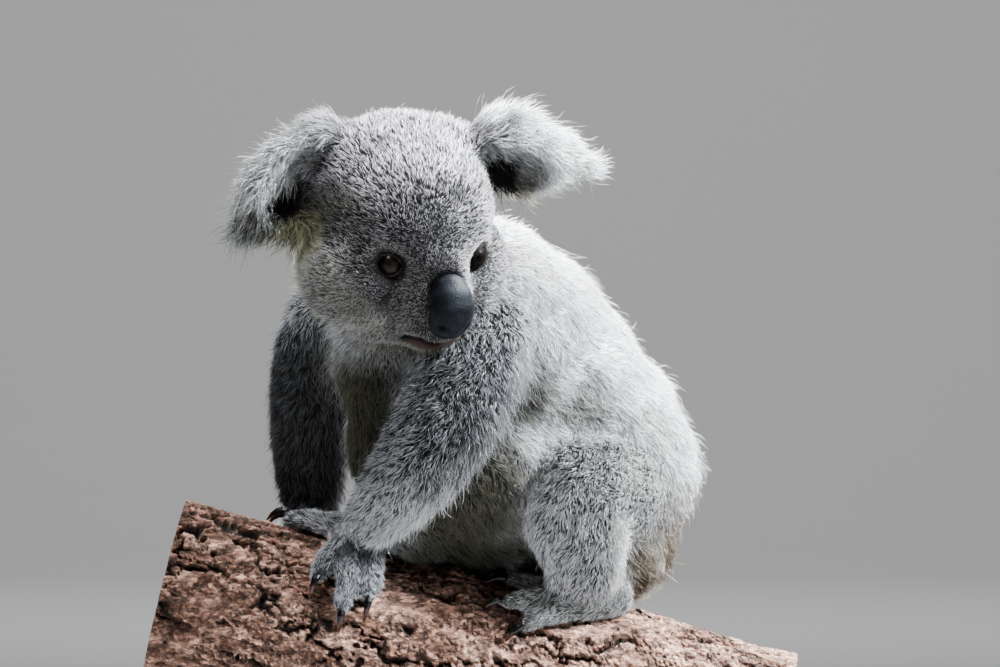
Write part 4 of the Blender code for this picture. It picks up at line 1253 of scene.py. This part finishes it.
def make_nose():
    """The bare nose pad, rounded, with a slanting nostril on each side."""
    bm = bmesh.new()
    for centre, radii in NOSE_MASSES:
        place = Matrix.Translation(in_head(centre)) @ HEAD_TURN.to_4x4()
        place = place @ Matrix.Diagonal((*(r * MM for r in radii), 1.0))
        bmesh.ops.create_uvsphere(bm, u_segments=64, v_segments=32, radius=1.0, matrix=place)
    nose = remeshed(object_of("nose_pad", bm), 0.6, 110)
    points = vertex_array(nose.data)
    local = head_local(points)
    shift = np.full(len(points), 0.75)
    half_long, half_wide, half_deep = NOSTRIL_RADII
    for sign in (1.0, -1.0):
        offset = local - np.array((NOSTRIL[0], sign * NOSTRIL[1], NOSTRIL[2]))
        long = sign * offset[:, 1] * 0.8 + offset[:, 2] * 0.6
        wide = -sign * offset[:, 1] * 0.6 + offset[:, 2] * 0.8
        gap = -((long / half_long) ** 2) - (wide / half_wide) ** 2 - (offset[:, 0] / half_deep) ** 2
        shift -= NOSTRIL_DEPTH * np.exp(gap)
    put_points(nose.data, points + normal_array(nose.data) * shift[:, None] * MM)
    dress(nose.data, nose_material())
    shown(nose, "nose_black", "nose")


def claw_material():
    """Horn in the painted tones, a little uneven."""
    made = Shader("claw_horn", {"Roughness": 0.26, "Specular IOR Level": 0.32})
    made.painted("horn", made.ranged(made.noise(made.place(), 500.0, 3.0)["Fac"], 0.7, 1.3))
    return made.material


def make_claws():
    """Each claw, black and turning red brown to its tip."""
    horn = claw_material()
    for name in CLAWS:
        _, kind, side, _ = name.split("_")
        bm, _ = joined([name], 0.3 * MM)
        claw = remeshed(object_of(name.replace("claw", "horn", 1), bm), 0.36, 4)
        reach = np.linalg.norm(vertex_array(claw.data) - np.array(box_middle(f"{kind}_{side}")), axis=1)
        red = smoothstep(0.70, 1.0, (reach - reach.min()) / max(np.ptp(reach), 1e-6))[:, None]
        paint(claw.data, "horn", tone(9, 8, 9) * (1 - red) + tone(62, 33, 26) * red)
        dress(claw.data, horn)
        shown(claw, "claw_black", name)


for _side in SIDES:
    make_eyeball(_side)
    make_lids(_side)
make_nose()
make_claws()


# ---------------------------------------------------------------- perch and stand

HASH = np.array((127.1, 311.7, 74.7))  # gives each whole-numbered place a key of its own


def scrambled(keys):
    """A pseudo-random number of 0 to 1 for each key."""
    return np.modf(np.abs(np.sin(keys)) * 43758.5453)[0]


def cells(points, seed):
    """For points in cell units: how much nearer the nearest seed is than the next, and its number."""
    base = np.floor(points).astype(int)
    first = np.full(len(points), 9.0)
    second = np.full(len(points), 9.0)
    owner = np.zeros(len(points))
    for shift in np.ndindex(3, 3, 3):
        cell = base + np.array(shift) - 1
        mix = cell @ HASH + seed
        jitter = np.stack([scrambled(mix * k) for k in (1.0, 1.37, 1.91)], axis=1)
        gap = np.linalg.norm(cell + jitter - points, axis=1)
        closer = gap < first
        second = np.where(closer, first, np.minimum(second, gap))
        owner = np.where(closer, jitter[:, 0] + 0.37 * jitter[:, 1], owner)
        first = np.where(closer, gap, first)
    return second - first, np.modf(owner)[0]


def lattice_noise(points, seed):
    """Smooth noise of 0 to 1 from random numbers at whole-numbered places."""
    base = np.floor(points)
    t = points - base
    t = t * t * (3.0 - 2.0 * t)
    total = np.zeros(len(points))
    for corner in np.ndindex(2, 2, 2):
        value = scrambled((base + np.array(corner)) @ HASH + seed)
        total += value * np.prod(np.where(np.array(corner) == 1, t, 1.0 - t), axis=1)
    return total


def rough_noise(points, size, seed, octaves=2):
    """Octaves of lattice noise, of 0 to 1, with the first one's cells of this size."""
    points = points / np.array(size)
    total, weight, scale = np.zeros(len(points)), 0.0, 1.0
    for k in range(octaves):
        total += scale * lattice_noise(points * 2.03**k, seed + 17.3 * k)
        weight += scale
        scale *= 0.55
    return total / weight


def terraces(value, steps, edge):
    """Turns a smooth value into flat steps with short steep risers."""
    level = value * steps
    whole = np.floor(level)
    return (whole + smoothstep(1.0 - edge, 1.0, level - whole)) / steps


def bark_relief(along, out):
    """Over the plain bark: height in mm, how much painted shade darkens each place (in cracks, splits and low
    crumbs), and two numbers that tones are mixed by, the second holding each flake's own tone with painted
    light on raised crumbs and terraces.
    """
    spot = np.concatenate([along[:, None], out], axis=1)
    metres = spot * MM
    bend = np.stack([wobble(metres, 24.0, s) for s in (31, 32, 33)], axis=1)
    fine_bend = np.stack([wobble(metres, 5.0, s) for s in (34, 35, 36)], axis=1)
    warped = spot + bend * np.array((6.0, 2.6, 2.6)) + fine_bend * np.array((1.6, 0.9, 0.9))
    _, plate = cells(warped / np.array((34.0, 9.0, 9.0)), 3.1)
    deep = smoothstep(0.36, 0.50, rough_noise(spot, (36.0, 13.0, 13.0), 4.2))
    ridge = np.abs(rough_noise(warped, (44.0, 7.5, 7.5), 2.6) - 0.5)
    crack = (1 - smoothstep(0.025, 0.075, ridge)) * deep
    gap, flake = cells(warped / np.array((9.0, 3.4, 3.4)), 8.7)
    some = smoothstep(0.36, 0.58, rough_noise(spot, (26.0, 8.0, 8.0), 9.4))
    split = (1 - smoothstep(0.02, 0.16, gap)) * some
    layers = terraces(rough_noise(warped, (26.0, 6.0, 6.0), 1.7, 3), 6.0, 0.2)
    crumbs = rough_noise(spot, (2.6, 1.7, 1.7), 6.1) - 0.5
    height = 0.5 * (plate - 0.5) + 1.7 * (layers - 0.5) + 0.8 * (flake - 0.5) + 1.3 * crumbs
    height = np.clip(height, -2.0, 1.8) - crack * 4.2 - 1.0 * split * (1 - crack)
    # painted shade in cracks, splits and low crumbs; painted light on raised crumbs and the upper terraces
    dark = np.clip(0.95 * crack + 0.55 * split - 0.6 * crumbs, 0, 1)
    light = np.clip(0.65 * flake + 0.35 * smoothstep(0.35, 0.7, layers) + 0.9 * crumbs, 0, 1)
    return height - 0.4, dark, plate, light


def bark_material():
    """Bark: the painted tones broken up by small flakes, each with its own tone and height."""
    made = Shader("bark", {"Roughness": 0.85, "Specular IOR Level": 0.25})
    place = made.place((0.45, 1.0, 1.0), (0.0, BRANCH_SLOPE, 0.0))
    noise = made.noise(place, 620.0, 6.0, Roughness=0.8)
    bent = {0: noise["Color"], 1: (0.0022, 0.0022, 0.0022), 2: place}
    bent = made.node("VectorMath", bent, operation="MULTIPLY_ADD").outputs["Vector"]
    steps = []
    for scale, low, high in ((430.0, 0.35, 1.65), (950.0, 0.45, 1.6)):
        flakes = made.node("TexVoronoi", {"Vector": bent, "Scale": scale})
        steps.append(made.ranged(flakes.outputs["Color"], low, high, 0.3, 0.7))
    fine = made.ranged(noise["Fac"], 0.5, 1.6, 0.36, 0.64)
    level = made.maths("MULTIPLY", made.maths("MULTIPLY", *steps), fine)
    made.painted("bark", level)
    made.bumped(level, 1.0, 0.0009)
    return made.material


def sawn_material():
    """End grain: year rings round the branch's axis."""
    made = Shader("sawn_wood", {"Roughness": 0.8})
    place = made.node("Attribute", attribute_name="grain").outputs["Vector"]
    _, across, up = made.node("SeparateXYZ", {0: place}).outputs
    noise = made.noise(place, 60.0, 5.0)["Fac"]
    uneven = made.maths("ADD", made.length(across, up), made.maths("MULTIPLY", noise, 0.006))
    rings = made.maths("FRACT", made.maths("MULTIPLY", uneven, 330.0))
    stops = ((0.0, (196, 162, 120)), (0.6, (182, 144, 102)), (0.86, (138, 98, 66)), (1.0, (190, 154, 112)))
    made.coloured(made.ramp(rings, toned(stops)))
    made.bumped(rings, 0.4, 0.0006)
    return made.material


BARK_ROWS, BARK_SIDES, CAP_RINGS = 330, 270, 9
# the bark's light and middle tones, and the near-black painted shade of its cracks
BARK_LIGHT, BARK_MID, BARK_PAINTED_SHADE = tone(198, 154, 134), tone(108, 76, 62), tone(11, 8, 7)


def bark_surface():
    """The bark as a grid: points in mm, along the branch last, with their colours and triangles."""
    half = BRANCH_LENGTH / 2
    angles = np.arange(BARK_SIDES) * FULL_TURN / BARK_SIDES
    lengths = np.linspace(-half, half, BARK_ROWS)
    along, angle = (a.ravel() for a in np.meshgrid(lengths, angles, indexing="ij"))
    swell = 0.9 * np.sin(0.031 * along + 2 * angle) + 0.8 * np.sin(0.052 * along - 3 * angle + 1)
    hump = 4.0 * np.exp(-(((along + 14.0) / 18.0) ** 2) / 2) * np.maximum(0.0, -np.cos(angle)) ** 2
    plain = BRANCH_RADIUS + swell + hump - 0.6
    ring = np.stack((np.cos(angle), np.sin(angle)), axis=1)
    # crack carries the painted shade, flake each flake's own tone with painted light
    height, crack, plate, flake = bark_relief(along, ring * plain[:, None])
    out = ring * (plain + np.minimum(height, 1.0))[:, None]
    local = np.concatenate([out, along[:, None]], axis=1)
    grid = np.arange(BARK_ROWS * BARK_SIDES).reshape(BARK_ROWS, BARK_SIDES)
    a, b = grid[:-1], grid[1:]
    quads = np.stack((a, np.roll(a, -1, axis=1), np.roll(b, -1, axis=1), b), axis=-1).reshape(-1, 4)
    warm = wobble(local * MM, 26.0, 51)
    mixed = np.clip(0.45 + 1.1 * (flake - 0.5) + 0.5 * (plate - 0.5) + 0.28 * warm, 0, 1)[:, None]
    colours = BARK_MID + (BARK_LIGHT - BARK_MID) * mixed
    colours = colours + (BARK_PAINTED_SHADE - colours) * crack[:, None]
    return local, colours, np.concatenate((quads[:, [0, 1, 2]], quads[:, [0, 2, 3]])), grid


def with_ends(local, colours, faces, grid):
    """The bark with its sawn ends, each of rings of points that shrink to its middle."""
    points, shades, triangles, start = [local], [colours], [faces], len(local)
    for row in (grid[0], grid[-1]):
        outer, end = row, local[row[0], 2]
        for k in range(1, CAP_RINGS + 1):
            last = k == CAP_RINGS
            count = 1 if last else BARK_SIDES
            inner = start + np.arange(BARK_SIDES) % count
            flat = local[row, :2] * (1 - k / CAP_RINGS)
            points.append(np.concatenate([flat, np.full((BARK_SIDES, 1), end)], axis=1)[:count])
            shades.append(np.tile(BARK_MID, (count, 1)))
            start += count
            outer_next, inner_next = np.roll(outer, -1), np.roll(inner, -1)
            fan = [np.stack((outer, outer_next, inner), 1)]
            if not last:
                fan.append(np.stack((outer_next, inner_next, inner), 1))
            fan = np.concatenate(fan)
            triangles.append(fan if end > 0 else fan[:, ::-1])
            outer = inner
    return np.concatenate(points), np.concatenate(shades), np.concatenate(triangles)


def make_bark():
    """The perch: bark with plates and cracks, and its sawn ends."""
    surface = bark_surface()
    local, colours, faces = with_ends(*surface)
    lay = np.array(Matrix.Rotation(math.pi / 2 + BRANCH_SLOPE, 3, "Y"))
    mesh = mesh_of("perch_bark", (local @ lay.T + np.array(BRANCH_MIDDLE)) * MM, faces)
    paint(mesh, "bark", colours)
    store_vectors(mesh, "grain", local[:, [2, 0, 1]] * MM)
    dress(mesh, bark_material(), sawn_material())
    sawn = np.arange(len(faces)) >= len(surface[2])
    mesh.polygons.foreach_set("material_index", sawn.astype(np.int32))
    mesh.set_sharp_from_angle(angle=math.radians(24.0))
    shown(placed("perch_bark", mesh), "bark", "perch_branch")


def wood_material():
    """Dark varnished wood with its grain along the base."""
    made = Shader("stand_varnish", {"Roughness": 0.38, "Coat Weight": 0.35, "Coat Roughness": 0.2})
    noise = made.noise(made.place((1.2, 16.0, 16.0)), 9.0, 8.0, Distortion=0.8)["Fac"]
    stops = ((0.25, (44, 27, 19)), (0.5, (86, 56, 40)), (0.62, (66, 42, 30)), (0.8, (108, 74, 52)))
    made.coloured(made.ramp(noise, toned(stops)))
    made.bumped(noise, 0.15, 0.0005)
    return made.material


def steel_material():
    """Brushed steel."""
    made = Shader("stand_brushed_steel", {"Base Color": (0.56, 0.56, 0.57, 1.0), "Metallic": 1.0})
    noise = made.noise(made.place((1.0, 1.0, 60.0)), 90.0)["Fac"]
    made.feed(made.main, "Roughness", made.ranged(noise, 0.24, 0.42))
    return made.material


def turned(name, profile, sides, middle=(0.0, 0.0), inside=False):
    """A surface turned round an upright axis from (radius, height) places; it can face its axis instead."""
    bm, previous = bmesh.new(), None
    for out, height in profile:
        if out == 0.0:
            row = [bm.verts.new((*middle, height))] * sides
        else:
            angles = [FULL_TURN * k / sides for k in range(sides)]
            spots = [(middle[0] + out * math.cos(a), middle[1] + out * math.sin(a), height) for a in angles]
            row = [bm.verts.new(spot) for spot in spots]
        for k in range(sides if previous else 0):
            n = (k + 1) % sides
            corners = (previous[k], previous[n], row[n], row[k])
            if inside:
                corners = (previous[k], row[k], row[n], previous[n])
            bm.faces.new(list(dict.fromkeys(corners)))
        previous = row
    return object_of(name, bm)


# A rod's collar where it enters the base: radius as a share of the rod's, and height in metres
COLLAR = ((1.9, 0.0), (1.9, 0.0022), (1.75, 0.0030), (1.15, 0.0034), (1.05, 0.0042), (1.0, 0.0060))


def make_rod(name, material):
    """A turned rod with a small collar where it enters the base."""
    low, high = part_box(name)
    middle = (low + high) / 2
    radius = (high.x - low.x) / 2
    collar = [(radius * share, low.z + height) for share, height in COLLAR]
    profile = [(0.0, low.z), *collar, (radius, high.z), (0.0, high.z)]
    rod = turned(name.replace("rod", "post", 1), profile, 56, (middle.x, middle.y))
    dress(rod.data, material)
    rod.data.set_sharp_from_angle(angle=math.radians(35.0))
    shown(rod, "stand_steel", name)


make_bark()
steel = steel_material()
for _name in ("stand_rod_high", "stand_rod_low"):
    make_rod(_name, steel)
NODES["stand_base"].data.materials.clear()
NODES["stand_base"].data.materials.append(wood_material())


# ---------------------------------------------------------------- studio

# Each light's place, aim, size, power, spread in degrees and colour
LIGHTS = {
    "key_right": ((1.40, 0.50, 1.85), (0.02, -0.02, 0.30), 0.6, 29.0, 38.0, (0.94, 0.975, 1.0)),
    "top": ((-0.25, 0.0, 1.9), (0.0, -0.06, 0.33), 0.7, 7.4, 40.0, (0.95, 0.975, 1.0)),
    "front_high": ((-0.75, -1.50, 1.95), (0.0, -0.06, 0.30), 0.9, 4.0, 44.0, (0.95, 0.975, 1.0)),
    "side_right": ((1.85, -0.62, 1.30), (0.14, 0.0, 0.28), 0.5, 6.4, 18.0, (0.88, 0.94, 1.0)),
    "backdrop_wash": ((0.0, 2.4, 2.6), (0.0, 6.2, 1.0), 2.0, 170.0, 180.0, (1.0, 1.0, 1.0)),
}
FLOOR_RADIUS, SWEEP, WALL_HEIGHT = 4.6, 1.6, 4.2
PAPER = ((0.0, (0.33, 0.335, 0.33)), (1.0, (0.36, 0.365, 0.36)))  # the backdrop's two greys, linear


def make_backdrop():
    """A round floor that sweeps up into a wall."""
    rings = [(0.0, 0.0), (2.0, 0.0), (FLOOR_RADIUS, 0.0)]
    rings += [(FLOOR_RADIUS + SWEEP * math.sin(a), SWEEP - SWEEP * math.cos(a))
              for a in np.radians(np.arange(10, 91, 10))]
    rings += [(FLOOR_RADIUS + SWEEP, WALL_HEIGHT)]
    floor = turned("floor", rings, 96, inside=True)
    made = Shader("backdrop_paper", {"Roughness": 0.9})
    made.coloured(made.ramp(made.noise(None, 2.0)["Fac"], PAPER))
    dress(floor.data, made.material)


def make_lights():
    """A faint sky and the area lights."""
    world = bpy.data.worlds.new("studio")
    bpy.context.scene.world = world
    world.use_nodes = True
    back = world.node_tree.nodes["Background"]
    back.inputs["Color"].default_value = (0.92, 0.96, 1.0, 1.0)
    back.inputs["Strength"].default_value = 0.09
    for name, (place, aim, size, power, spread, colour) in LIGHTS.items():
        light = bpy.data.lights.new(name, "AREA")
        light.shape = "DISK"
        light.size = size
        light.energy = power
        light.spread = math.radians(spread)
        light.color = colour
        made = placed(name, light)
        made.location = place
        made.rotation_euler = (Vector(aim) - Vector(place)).to_track_quat("-Z", "Y").to_euler()


make_backdrop()
make_lights()

camera = bpy.data.cameras.new("camera")
camera.lens = 200.0
camera.sensor_width = 36.0
camera.clip_end = 100.0
view = placed("camera", camera)
view.location = (0.015, -2.808, 0.3208)
view.rotation_euler = (math.pi / 2, 0.0, 0.0)
bpy.context.scene.camera = view
